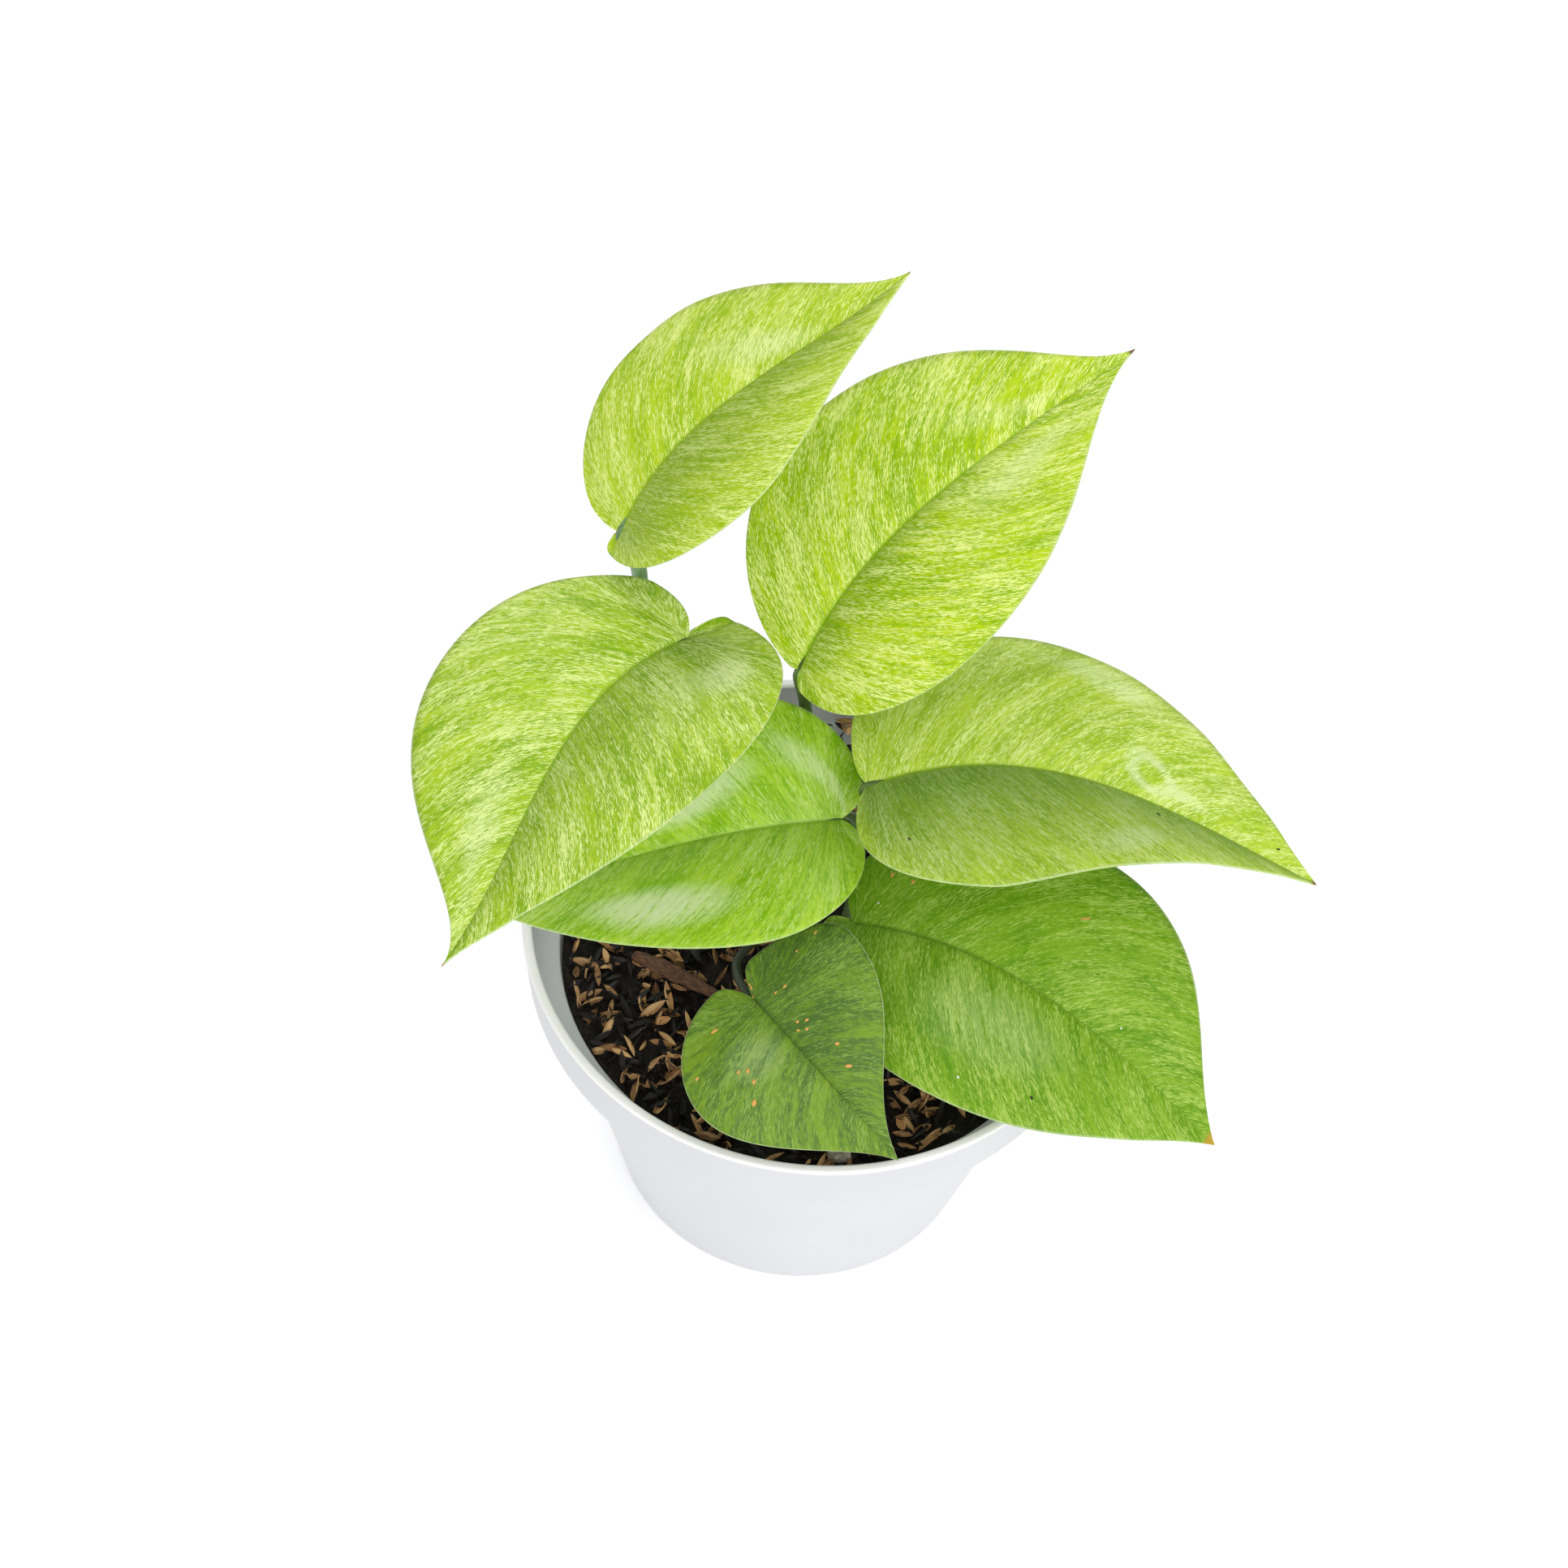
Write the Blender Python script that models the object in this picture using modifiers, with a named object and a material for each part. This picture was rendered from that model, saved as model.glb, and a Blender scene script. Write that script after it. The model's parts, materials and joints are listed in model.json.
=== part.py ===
# Satin pothos in a plain white plastic pot. Metres, Z up. The origin is the
# centre of the pot's underside, X to the right and -Y to the front.
import math
import random

import bmesh
import bpy
from mathutils import Euler, Matrix, Vector, noise
from mathutils.geometry import interpolate_bezier

MM = 0.001
GAP = 0.3

# Pot, in millimetres: a 150 mm nursery pot. Its deep collar stands on a ledge
# at the top of the tapered wall.
POT_HEIGHT = 102.0
LIP_RADIUS = 75.0
LIP_DEPTH = 2.0
LIP_ROUND = 0.8
LIP_UNDER_ROUND = 0.5
COLLAR_RADIUS = 73.8
COLLAR_BOTTOM = 85.0
COLLAR_ROUND = 0.6
WALL_TOP_RADIUS = 66.5
BASE_RADIUS = 48.0
BASE_ROUND = 1.2
WALL = 1.4
FLOOR = 1.8
POT_STEPS = 48
DRAIN_HOLES = 8
DRAIN_RADIUS = 4.0
DRAIN_CIRCLE = 36.0

# Potting mix: rice husks, fresh and charred, larger than life.
SOIL_DROP = 19.0
SOIL_RELIEF = 2.4
SOIL_GRAIN = 14.0
SOIL_RINGS = [10, 22, 34, 46, 58]
SOIL_STEPS = 40
SOIL_SHOULDER = 2.5
HUSKS = 150
HUSK_LENGTH = 10.0
HUSK_WIDTH = 3.8
HUSK_THICKNESS = 3.4
HUSK_LIFT = 0.12
HUSK_SPREAD = 0.15
HUSK_STRAY = 1.5
HUSK_TILT = 0.5
HUSK_SEED = 11

# Vine: centre line points from the soil to the growing tip, heights above the
# rim, each with the stem's radius.
VINE_LINE = [
    ((-0.6, 11.0, -30.0), 2.7),
    ((-2.0, 13.5, -15.0), 2.8),
    ((-4.5, 17.5, 0.0), 2.8),
    ((-8.0, 22.0, 15.0), 2.7),
    ((-12.5, 27.0, 30.0), 2.5),
    ((-18.5, 32.0, 43.0), 2.0),
    ((-24.0, 34.5, 50.0), 0.5),
]

# Short aerial roots: height on the vine above the rim, side of the vine.
ROOT_STUBS = [(-11, 60), (-3, 110), (5, 170), (13, 215), (22, 270), (31, 290), (39, 40)]
VINE_STEPS = 4
ROOT_STUB_LENGTH = 5.0
ROOT_STUB_RADIUS = 0.8

# Leaf stalks: the sheath runs beside the vine before it leaves it, and the
# midrib carries the stalk on under the blade. Each rib point is how far along
# the blade it lies, how deep under it and how thick the rib is there.
SHEATH_LENGTH = 6.0
SHEATH_SWELL = 1.15
SHEATH_GAP = 1.5 * GAP
STALK_STEPS = 3
STALK_SIDES = 6
RIB_POINTS = [(-0.5, 0.9, None), (5.0, 0.7, 0.75), (10.0, 0.45, 0.5)]
RIB_TAPER = 0.75

BLADE_THICKNESS = 0.8
LOBE_STEPS = 4
SHOULDER_STEPS = 7
TIP_STEPS = 9
HALF_STEPS = 4
LOBE_ROUNDNESS = 0.55
LOBE_DIP = 1.0
LOBE_TURN = 2.5
CURL = 0.25
FIRST_VEIN_SHARE = 0.12

# One entry per leaf, in millimetres and degrees. base is where the petiole
# meets the blade, its height above the rim. Each side of the blade has its
# lobe's reach behind the base, the lobe's width there, how far along the
# blade is widest, the half width there, two fullness shares towards the tip
# and the angle of the margin at the tip. petiole is the height on the vine
# where it starts, the side of the vine it leaves on, its radius and the
# points it passes on its way to the base.
LEAVES = {
    "leaf_1": dict(
        base=(-57.9, 36.5, 98.0), length=92.3, heading=41.5, pitch=27.9,
        roll=-9.8, bend=1.9, arch=6.4, skew=0.95, fold=0.32,
        left=(1.5, 7.5, 39.8, 30.1, 0.53, 0.34, 14),
        right=(5.5, -0.4, 28.4, 31.1, 0.26, 0.53, 26),
        petiole=(36.0, 130.0, 2.0, [
            (-33, 35, 46), (-42, 37, 53), (-49, 37.5, 62), (-52, 36.5, 76), (-53.5, 36, 88),
        ]),
    ),
    "leaf_2": dict(
        base=(-11.8, 24.0, 70.0), length=111.7, heading=44.4, pitch=26.7,
        roll=1.0, bend=5.2, arch=5.9, skew=0.56, fold=0.28,
        left=(1.5, 2.5, 39.2, 38.2, 0.69, 0.29, 16),
        right=(4.1, 4.3, 35.9, 37.9, 0.51, 0.30, 13),
        petiole=(16.0, 40.0, 1.8, [(-8.5, 33, 34), (-10, 32, 47), (-11.5, 27, 61)]),
    ),
    "leaf_3": dict(
        base=(-38.9, 16.4, 86.0), length=101.9, heading=-116.5, pitch=-8.7,
        roll=3.3, bend=-6.0, arch=4.5, skew=0.95, fold=0.33,
        left=(11.2, -1.2, 25.1, 38.5, 0.43, 0.16, 9),
        right=(8.6, 18.9, 36.6, 36.4, 0.67, 0.29, 1),
        petiole=(27.0, 200.0, 1.6, [(-26, 31, 52), (-35, 28, 68), (-37.5, 20.5, 80)]),
    ),
    "leaf_4": dict(
        base=(7.9, 0.0, 58.0), length=113.8, heading=0.5, pitch=-10.2,
        roll=-6.9, bend=8.5, arch=9.4, skew=0.44, fold=0.30,
        left=(5.2, 19.7, 28.8, 41.1, 0.58, 0.41, 36),
        right=(2.5, 13.0, 29.3, 41.2, 0.17, 0.49, 22),
        petiole=(7.0, -10.0, 1.6, [(9, 14, 24), (15, 7, 40), (14, 2, 50)]),
    ),
    "leaf_5": dict(
        base=(2.1, -1.6, 45.0), length=92.1, heading=-167.1, pitch=-16.8,
        roll=-8.1, bend=-0.8, arch=4.8, skew=0.54, fold=0.39,
        left=(5.0, 9.6, 22.5, 32.7, 0.38, 0.29, 46),
        right=(7.3, 8.2, 19.7, 33.8, 0.55, 0.35, 17),
        petiole=(0.0, -75.0, 1.5, [(4, 4, 16), (7.5, -1, 30), (6, -1.5, 40)]),
    ),
    "leaf_6": dict(
        base=(8.8, -13.8, 19.0), length=103.7, heading=-26.3, pitch=-4.7,
        roll=12.1, bend=7.7, arch=5.8, skew=0.33, fold=0.28,
        left=(6.4, 17.0, 46.0, 37.8, 0.63, 0.36, 32),
        right=(6.5, -0.1, 37.0, 37.3, 0.48, 0.29, 38),
        petiole=(-6.0, -20.0, 1.5, [(7, 4, 4), (7, -6, 11), (7.5, -11.5, 15.5)]),
    ),
    "leaf_7": dict(
        base=(-13.1, -42.7, 24.0), length=52.4, heading=-35.1, pitch=-23.4,
        roll=25.0, bend=0.0, arch=4.9, skew=0.36, fold=0.37,
        left=(7.6, 6.0, 3.4, 28.0, 0.46, 0.45, 15),
        right=(7.4, 6.7, 11.9, 28.2, 0.39, 0.35, 26),
        petiole=(-9.0, 225.0, 1.2, [(-13, -7, 2), (-18.5, -24, 12), (-17.5, -34, 18.5)]),
    ),
}

LEAF_COLOURS = {
    "leaf_1": (0.42, 0.57, 0.11, 1.0),
    "leaf_2": (0.36, 0.52, 0.09, 1.0),
    "leaf_3": (0.36, 0.53, 0.10, 1.0),
    "leaf_4": (0.30, 0.48, 0.08, 1.0),
    "leaf_5": (0.26, 0.46, 0.07, 1.0),
    "leaf_6": (0.16, 0.34, 0.04, 1.0),
    "leaf_7": (0.12, 0.26, 0.04, 1.0),
}


def material(name, colour, roughness):
    made = bpy.data.materials.new(name)
    made.use_nodes = True
    shader = made.node_tree.nodes["Principled BSDF"]
    shader.inputs["Base Color"].default_value = colour
    shader.inputs["Roughness"].default_value = roughness
    shader.inputs["Metallic"].default_value = 0.0
    return made


def clear_scene():
    for obj in list(bpy.data.objects):
        bpy.data.objects.remove(obj)


def collection(name):
    made = bpy.data.collections.new(name)
    bpy.context.scene.collection.children.link(made)
    return made


def link_mesh(name, mesh, home):
    obj = bpy.data.objects.new(name, mesh)
    home.objects.link(obj)
    return obj


def mesh_of(bm, name):
    """Hands the bmesh over as a mesh in metres and frees it."""
    bmesh.ops.scale(bm, vec=Vector((MM, MM, MM)), verts=bm.verts)
    bmesh.ops.recalc_face_normals(bm, faces=bm.faces)
    mesh = bpy.data.meshes.new(name)
    bm.to_mesh(mesh)
    bm.free()
    return mesh


def baked(obj):
    """Applies the object's modifiers."""
    graph = bpy.context.evaluated_depsgraph_get()
    mesh = bpy.data.meshes.new_from_object(obj.evaluated_get(graph))
    obj.modifiers.clear()
    obj.data = mesh


def joined(obj, others, solver="EXACT"):
    """Unites the object with the collection's objects and removes them."""
    union = obj.modifiers.new("union", "BOOLEAN")
    union.operation = "UNION"
    union.operand_type = "COLLECTION"
    union.collection = others
    union.solver = solver
    baked(obj)
    for other in list(others.objects):
        bpy.data.objects.remove(other)
    bpy.data.collections.remove(others)


def turned(name, profile, steps, home):
    """A solid of revolution. The profile runs down its outer side at +X."""
    bm = bmesh.new()
    points = [bm.verts.new((x, 0, z)) for x, z in profile]
    for first, second in zip(points, points[1:]):
        bm.edges.new((first, second))
    obj = link_mesh(name, mesh_of(bm, name), home)
    screw = obj.modifiers.new("turn", "SCREW")
    screw.steps = steps
    screw.render_steps = steps
    screw.use_merge_vertices = True
    screw.merge_threshold = 0.0001
    screw.use_normal_calculate = True
    return obj


def wall_radius(height):
    """Outer radius of the tapered wall below the collar."""
    share = height / COLLAR_BOTTOM
    return BASE_RADIUS + (WALL_TOP_RADIUS - BASE_RADIUS) * share


def inside(height):
    """Radius of the potting mix, clear of the wall's flats."""
    return wall_radius(height) - WALL - 2 * GAP


def arc(radius, edge, top, start, end):
    """Three profile points round a corner whose centre is (edge, top)."""
    angles = [math.radians(start + (end - start) * step / 2) for step in range(3)]
    return [(edge + radius * math.cos(turn), top + radius * math.sin(turn)) for turn in angles]


def pot_profile():
    """From the inside of the base, up, over the lip and down the outer side."""
    lip_bottom = POT_HEIGHT - LIP_DEPTH
    inner_collar = COLLAR_RADIUS - WALL
    collar_foot = COLLAR_RADIUS - COLLAR_ROUND
    return [
        (0, FLOOR),
        *arc(BASE_ROUND, wall_radius(FLOOR) - WALL - BASE_ROUND, FLOOR + BASE_ROUND, -90, 0),
        (wall_radius(COLLAR_BOTTOM) - WALL, COLLAR_BOTTOM + WALL - GAP),
        (inner_collar, COLLAR_BOTTOM + WALL),
        *arc(LIP_ROUND, inner_collar + LIP_ROUND, POT_HEIGHT - LIP_ROUND, 180, 90),
        *arc(LIP_ROUND, LIP_RADIUS - LIP_ROUND, POT_HEIGHT - LIP_ROUND, 90, 0),
        *arc(LIP_UNDER_ROUND, LIP_RADIUS - LIP_UNDER_ROUND, lip_bottom + LIP_UNDER_ROUND, 0, -90),
        (COLLAR_RADIUS, lip_bottom - GAP),
        *arc(COLLAR_ROUND, collar_foot - GAP, COLLAR_BOTTOM + COLLAR_ROUND, 0, -90),
        (WALL_TOP_RADIUS, COLLAR_BOTTOM - GAP),
        *arc(BASE_ROUND, wall_radius(BASE_ROUND) - BASE_ROUND, BASE_ROUND, 0, -90),
        (0, 0),
    ]


def make_pot(home):
    pot = turned("pot", pot_profile(), POT_STEPS, home)
    cutters = collection("pot_cutters")
    for index in range(DRAIN_HOLES):
        angle = math.tau * (index + 0.5) / DRAIN_HOLES
        bm = bmesh.new()
        bmesh.ops.create_cone(
            bm, cap_ends=True, segments=16, radius1=DRAIN_RADIUS,
            radius2=DRAIN_RADIUS, depth=4 * FLOOR,
        )
        offset = Vector((math.cos(angle), math.sin(angle), 0)) * DRAIN_CIRCLE
        bmesh.ops.translate(bm, vec=offset, verts=bm.verts)
        link_mesh("drain", mesh_of(bm, "drain"), cutters)
    cut = pot.modifiers.new("drain", "BOOLEAN")
    cut.operation = "DIFFERENCE"
    cut.operand_type = "COLLECTION"
    cut.collection = cutters
    baked(pot)
    for cutter in list(cutters.objects):
        bpy.data.objects.remove(cutter)
    bpy.data.collections.remove(cutters)
    return pot


def soil_height(x, y):
    """Height of the potting mix above the pot's foot, in millimetres."""
    level = POT_HEIGHT - SOIL_DROP
    return level + SOIL_RELIEF * noise.noise(Vector((x, y, 0)) / SOIL_GRAIN)


def soil_profile():
    top = POT_HEIGHT - SOIL_DROP
    shoulder = top - SOIL_SHOULDER
    bottom = FLOOR + GAP
    foot = bottom + BASE_ROUND + GAP
    return [
        (0, top),
        *[(radius, top) for radius in SOIL_RINGS],
        (inside(shoulder) - 2 * GAP, top),
        (inside(shoulder), shoulder),
        (inside(foot), foot),
        (inside(bottom) - BASE_ROUND - GAP, bottom),
        (0, bottom),
    ]


def make_husks(home):
    """Rice husks strewn over the mix, each sunk in by a third."""
    draw = random.Random(HUSK_SEED)
    longest = HUSK_LENGTH * (1 + HUSK_SPREAD)
    reach = WALL_TOP_RADIUS - WALL - 2 * GAP - longest / 2 - 1.5 * HUSK_STRAY
    golden = math.pi * (3 - math.sqrt(5))
    foot, _, vine_radius = vine_at(-SOIL_DROP)
    clear = vine_radius + (longest + HUSK_WIDTH) / 2
    for index in range(HUSKS):
        spread = reach * math.sqrt((index + 0.5) / HUSKS)
        angle = index * golden
        x = spread * math.cos(angle) + draw.uniform(-HUSK_STRAY, HUSK_STRAY)
        y = spread * math.sin(angle) + draw.uniform(-HUSK_STRAY, HUSK_STRAY)
        if math.hypot(x - foot.x, y - foot.y) < clear:
            continue
        turn = Euler((
            draw.uniform(-HUSK_TILT, HUSK_TILT),
            draw.uniform(-HUSK_TILT, HUSK_TILT) / 2,
            draw.uniform(0, math.tau),
        )).to_matrix().to_4x4()
        size = draw.uniform(1 - HUSK_SPREAD, 1 + HUSK_SPREAD)
        radii = Vector((HUSK_LENGTH, HUSK_WIDTH, HUSK_THICKNESS)) * size
        place = Matrix.Translation((x, y, soil_height(x, y) + HUSK_LIFT * radii.z))
        bm = bmesh.new()
        bmesh.ops.create_icosphere(bm, subdivisions=1, radius=0.5)
        bmesh.ops.scale(bm, vec=radii, verts=bm.verts)
        bmesh.ops.transform(bm, matrix=place @ turn, verts=bm.verts)
        link_mesh("husk", mesh_of(bm, "husk"), home)


def make_soil(home):
    """The mix that fills the pot, with its husks and a hole for the vine."""
    soil = turned("soil", soil_profile(), SOIL_STEPS, home)
    baked(soil)
    level = (POT_HEIGHT - SOIL_DROP) * MM
    for vertex in soil.data.vertices:
        if abs(vertex.co.z - level) < 0.1 * MM:
            x, y = vertex.co.x / MM, vertex.co.y / MM
            vertex.co.z = soil_height(x, y) * MM
    husks = collection("husks")
    make_husks(husks)
    joined(soil, husks)
    way = vine_points()
    way[0] = way[0] + (way[0] - way[1]).normalized() * GAP
    radii = [radius + GAP for _, radius in VINE_LINE]
    hole = tube("vine_hole", way, radii, VINE_STEPS, home)
    cut = soil.modifiers.new("vine_hole", "BOOLEAN")
    cut.operation = "DIFFERENCE"
    cut.object = hole
    baked(soil)
    bpy.data.objects.remove(hole)
    return soil


def smooth(points, steps):
    """The points joined by one smooth curve, with steps pieces between each pair."""
    line = [Vector(point) for point in points]
    last = len(line) - 1
    courses = [
        (line[min(index + 1, last)] - line[max(index - 1, 0)]).normalized()
        for index in range(last + 1)
    ]
    made = [line[0]]
    for index in range(last):
        start, end = line[index], line[index + 1]
        third = (end - start).length / 3
        leave = start + courses[index] * third
        arrive = end - courses[index + 1] * third
        made += interpolate_bezier(start, leave, arrive, end, steps + 1)[1:]
    return made


def between(values, steps):
    """The values with steps even pieces between each pair."""
    made = [values[0]]
    for start, end in zip(values, values[1:]):
        made += [start + (end - start) * step / steps for step in range(1, steps + 1)]
    return made


def tube(name, points, radii, steps, home, sides=8):
    """A closed tube along a smooth line through the points, in millimetres."""
    curve = bpy.data.curves.new(name, "CURVE")
    curve.dimensions = "3D"
    curve.bevel_depth = MM
    curve.bevel_resolution = (sides - 4) // 2
    curve.use_fill_caps = True
    spline = curve.splines.new("POLY")
    line = smooth(points, steps)
    spline.points.add(len(line) - 1)
    for knot, point, radius in zip(spline.points, line, between(radii, steps)):
        knot.co = (*(point * MM), 1)
        knot.radius = radius
    holder = bpy.data.objects.new(name, curve)
    home.objects.link(holder)
    graph = bpy.context.evaluated_depsgraph_get()
    mesh = bpy.data.meshes.new_from_object(holder.evaluated_get(graph))
    bpy.data.objects.remove(holder)
    bm = bmesh.new()
    bm.from_mesh(mesh)
    bmesh.ops.remove_doubles(bm, verts=bm.verts, dist=0.01 * MM)
    bmesh.ops.triangulate(bm, faces=bm.faces)
    bmesh.ops.recalc_face_normals(bm, faces=bm.faces)
    bm.to_mesh(mesh)
    bm.free()
    return link_mesh(name, mesh, home)


def above_rim(point):
    return Vector((point[0], point[1], point[2] + POT_HEIGHT))


def vine_points():
    return [above_rim(point) for point, _ in VINE_LINE]


def vine_at(height):
    """Centre, direction and radius of the vine at a height above the rim."""
    line = smooth(vine_points(), VINE_STEPS)
    radii = between([radius for _, radius in VINE_LINE], VINE_STEPS)
    level = POT_HEIGHT + height
    for index, (low, high) in enumerate(zip(line, line[1:])):
        if low.z <= level <= high.z:
            share = (level - low.z) / (high.z - low.z)
            radius = radii[index] + (radii[index + 1] - radii[index]) * share
            return low.lerp(high, share), (high - low).normalized(), radius


def make_vine(home):
    """The stem with short aerial roots."""
    radii = [radius for _, radius in VINE_LINE]
    vine = tube("vine", vine_points(), radii, VINE_STEPS, home)
    stubs = collection("stubs")
    for height, side in ROOT_STUBS:
        centre, _, radius = vine_at(height)
        angle = math.radians(side)
        away = Vector((math.cos(angle), math.sin(angle), -0.5)).normalized()
        end = centre + away * (radius + ROOT_STUB_LENGTH)
        tube("stub", [centre, centre.lerp(end, 0.6), end], [
            ROOT_STUB_RADIUS * 1.3, ROOT_STUB_RADIUS, ROOT_STUB_RADIUS * 0.5,
        ], 1, stubs, 6)
    joined(vine, stubs)
    return vine


def lobe_handles(back, lobe):
    """Handles of the margin from the notch to the lobe's rear. A lobe that
    crosses the midrib's line swings out past it first."""
    if lobe < 0:
        return Vector((-0.15 * back, lobe - LOBE_DIP)), Vector((-back, lobe - LOBE_TURN))
    return Vector((-0.55 * back, 0.2 * lobe)), Vector((-back, 0.5 * lobe))


def margin(length, side):
    """Half outline of a blade in its own plane: lobe, shoulder and tip."""
    back, lobe, widest, half, full, tip_full, tip_angle = side
    angle = math.radians(tip_angle)
    notch = Vector((0, 0))
    rear = Vector((-back, lobe))
    wide = Vector((widest, half))
    tip = Vector((length, 0))
    reach = length - widest
    arcs = [
        (notch, *lobe_handles(back, lobe), rear, LOBE_STEPS),
        (rear, rear + Vector((0, LOBE_ROUNDNESS * (half - lobe))),
         wide - Vector((LOBE_ROUNDNESS * (widest + back), 0)), wide, SHOULDER_STEPS),
        (wide, wide + Vector((full * reach, 0)),
         tip - Vector((math.cos(angle), -math.sin(angle))) * tip_full * reach,
         tip, TIP_STEPS),
    ]
    line = [notch]
    for start, leave, arrive, end, steps in arcs:
        line += interpolate_bezier(start, leave, arrive, end, steps + 1)[1:]
    return [Vector((point[0], point[1])) for point in line]


def vein_foot(length, widest, index, point):
    """How far along the midrib the vein that ends at a margin point starts."""
    first = FIRST_VEIN_SHARE * length
    if index <= LOBE_STEPS:
        return 0.0
    if index <= LOBE_STEPS + SHOULDER_STEPS:
        return first * (index - LOBE_STEPS) / SHOULDER_STEPS
    return first + (length - first) * (point.x - widest) / (length - widest)


def blade_point(entry, outlines, column, across):
    """Point of the blade's middle surface, in the blade's own frame."""
    length = entry["length"]
    side = "left" if across >= 0 else "right"
    point = outlines[side][column]
    foot = vein_foot(length, entry[side][2], column, point)
    share = abs(across)
    x = foot + (point.x - foot) * share
    y = point.y * share * (1 if across >= 0 else -1)
    along = max(-0.35, x / length)
    skew = entry["skew"]
    if along > 0:
        hump = 4 * along * (1 - along) * (1 + skew * (1 - 2 * along))
    else:
        hump = 4 * along * (1 + skew)
    half = (entry["left"][3] + entry["right"][3]) / 2
    rise = abs(y) / half
    lift = half * (entry["fold"] * rise - CURL * rise * rise)
    return Vector((x, y + entry["bend"] * hump, entry["arch"] * hump + lift))


def blade_matrix(entry):
    """The blade's frame: X from base to tip, Y to its left, Z off its face."""
    heading = math.radians(entry["heading"])
    turn = (
        Matrix.Rotation(heading, 4, "Z")
        @ Matrix.Rotation(-math.radians(entry["pitch"]), 4, "Y")
        @ Matrix.Rotation(math.radians(entry["roll"]), 4, "X")
    )
    return Matrix.Translation(above_rim(entry["base"])) @ turn


def make_blade(name, entry, home):
    columns = LOBE_STEPS + SHOULDER_STEPS + TIP_STEPS
    outlines = {
        side: margin(entry["length"], entry[side]) for side in ("left", "right")
    }
    place = blade_matrix(entry)
    bm = bmesh.new()
    bmesh.ops.create_grid(
        bm, x_segments=columns, y_segments=2 * HALF_STEPS, size=0.5
    )
    for vertex in bm.verts:
        column = round((vertex.co.x + 0.5) * columns)
        across = round(2 * vertex.co.y * HALF_STEPS) / HALF_STEPS
        vertex.co = blade_point(entry, outlines, column, across)
    bmesh.ops.remove_doubles(bm, verts=bm.verts, dist=0.02)
    bmesh.ops.triangulate(bm, faces=bm.faces)
    bmesh.ops.transform(bm, matrix=place, verts=bm.verts)
    blade = link_mesh(name, mesh_of(bm, name), home)
    solid = blade.modifiers.new("thickness", "SOLIDIFY")
    solid.thickness = BLADE_THICKNESS * MM
    solid.offset = 0.0
    baked(blade)
    return blade


def make_petiole(entry, home):
    """The leaf stalk, from beside the vine to the underside of the midrib."""
    height, side, radius, way = entry["petiole"]
    centre, along, vine_radius = vine_at(height)
    angle = math.radians(side)
    away = Vector((math.cos(angle), math.sin(angle), 0))
    away = (away - along * away.dot(along)).normalized()
    sheath = radius * SHEATH_SWELL
    start = centre + away * (vine_radius + SHEATH_GAP + sheath)
    clasp = start + along * SHEATH_LENGTH + away * GAP
    place = blade_matrix(entry)
    rise = 4 * (1 + entry["skew"]) / entry["length"]
    ribs = [
        place @ Vector((
            x, entry["bend"] * rise * x, entry["arch"] * rise * x - BLADE_THICKNESS / 2 - deep,
        ))
        for x, deep, _ in RIB_POINTS
    ]
    points = [start, clasp] + [above_rim(point) for point in way] + ribs
    radii = [sheath, sheath] + [radius] * len(way)
    radii += [thick or radius * RIB_TAPER for _, _, thick in RIB_POINTS]
    return tube("petiole", points, radii, STALK_STEPS, home, STALK_SIDES)


def make_leaf(name, home):
    entry = LEAVES[name]
    leaf = make_blade(name, entry, home)
    stalk = collection("stalk")
    make_petiole(entry, stalk)
    joined(leaf, stalk, "MANIFOLD")
    return leaf


def finish(obj, made):
    obj.data.materials.clear()
    obj.data.materials.append(made)
    obj.data.shade_smooth()
    obj.data.set_sharp_from_angle(angle=math.radians(40))


def main():
    clear_scene()
    home = collection("satin_pothos")
    finish(make_pot(home), material("white_plastic", (0.86, 0.87, 0.89, 1), 0.35))
    finish(make_soil(home), material("potting_mix", (0.12, 0.07, 0.035, 1), 0.9))
    finish(make_vine(home), material("vine_green", (0.14, 0.26, 0.06, 1), 0.5))
    for name in LEAVES:
        finish(make_leaf(name, home), material(name + "_green", LEAF_COLOURS[name], 0.42))


main()
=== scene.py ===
# %% [markdown]
# # A satin pothos in its nursery pot
# A young climbing aroid: seven heart-shaped leaves on stalks, one short vine,
# a potting mix of rice husks and a plain white plastic pot. Each step below
# makes one physical piece, or a helper for it, at its real size, and says how
# the real one comes about.

import json
import math

import bmesh
import bpy
import numpy as np
from mathutils import Matrix, Quaternion, Vector, noise
from mathutils.geometry import interpolate_bezier

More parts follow.
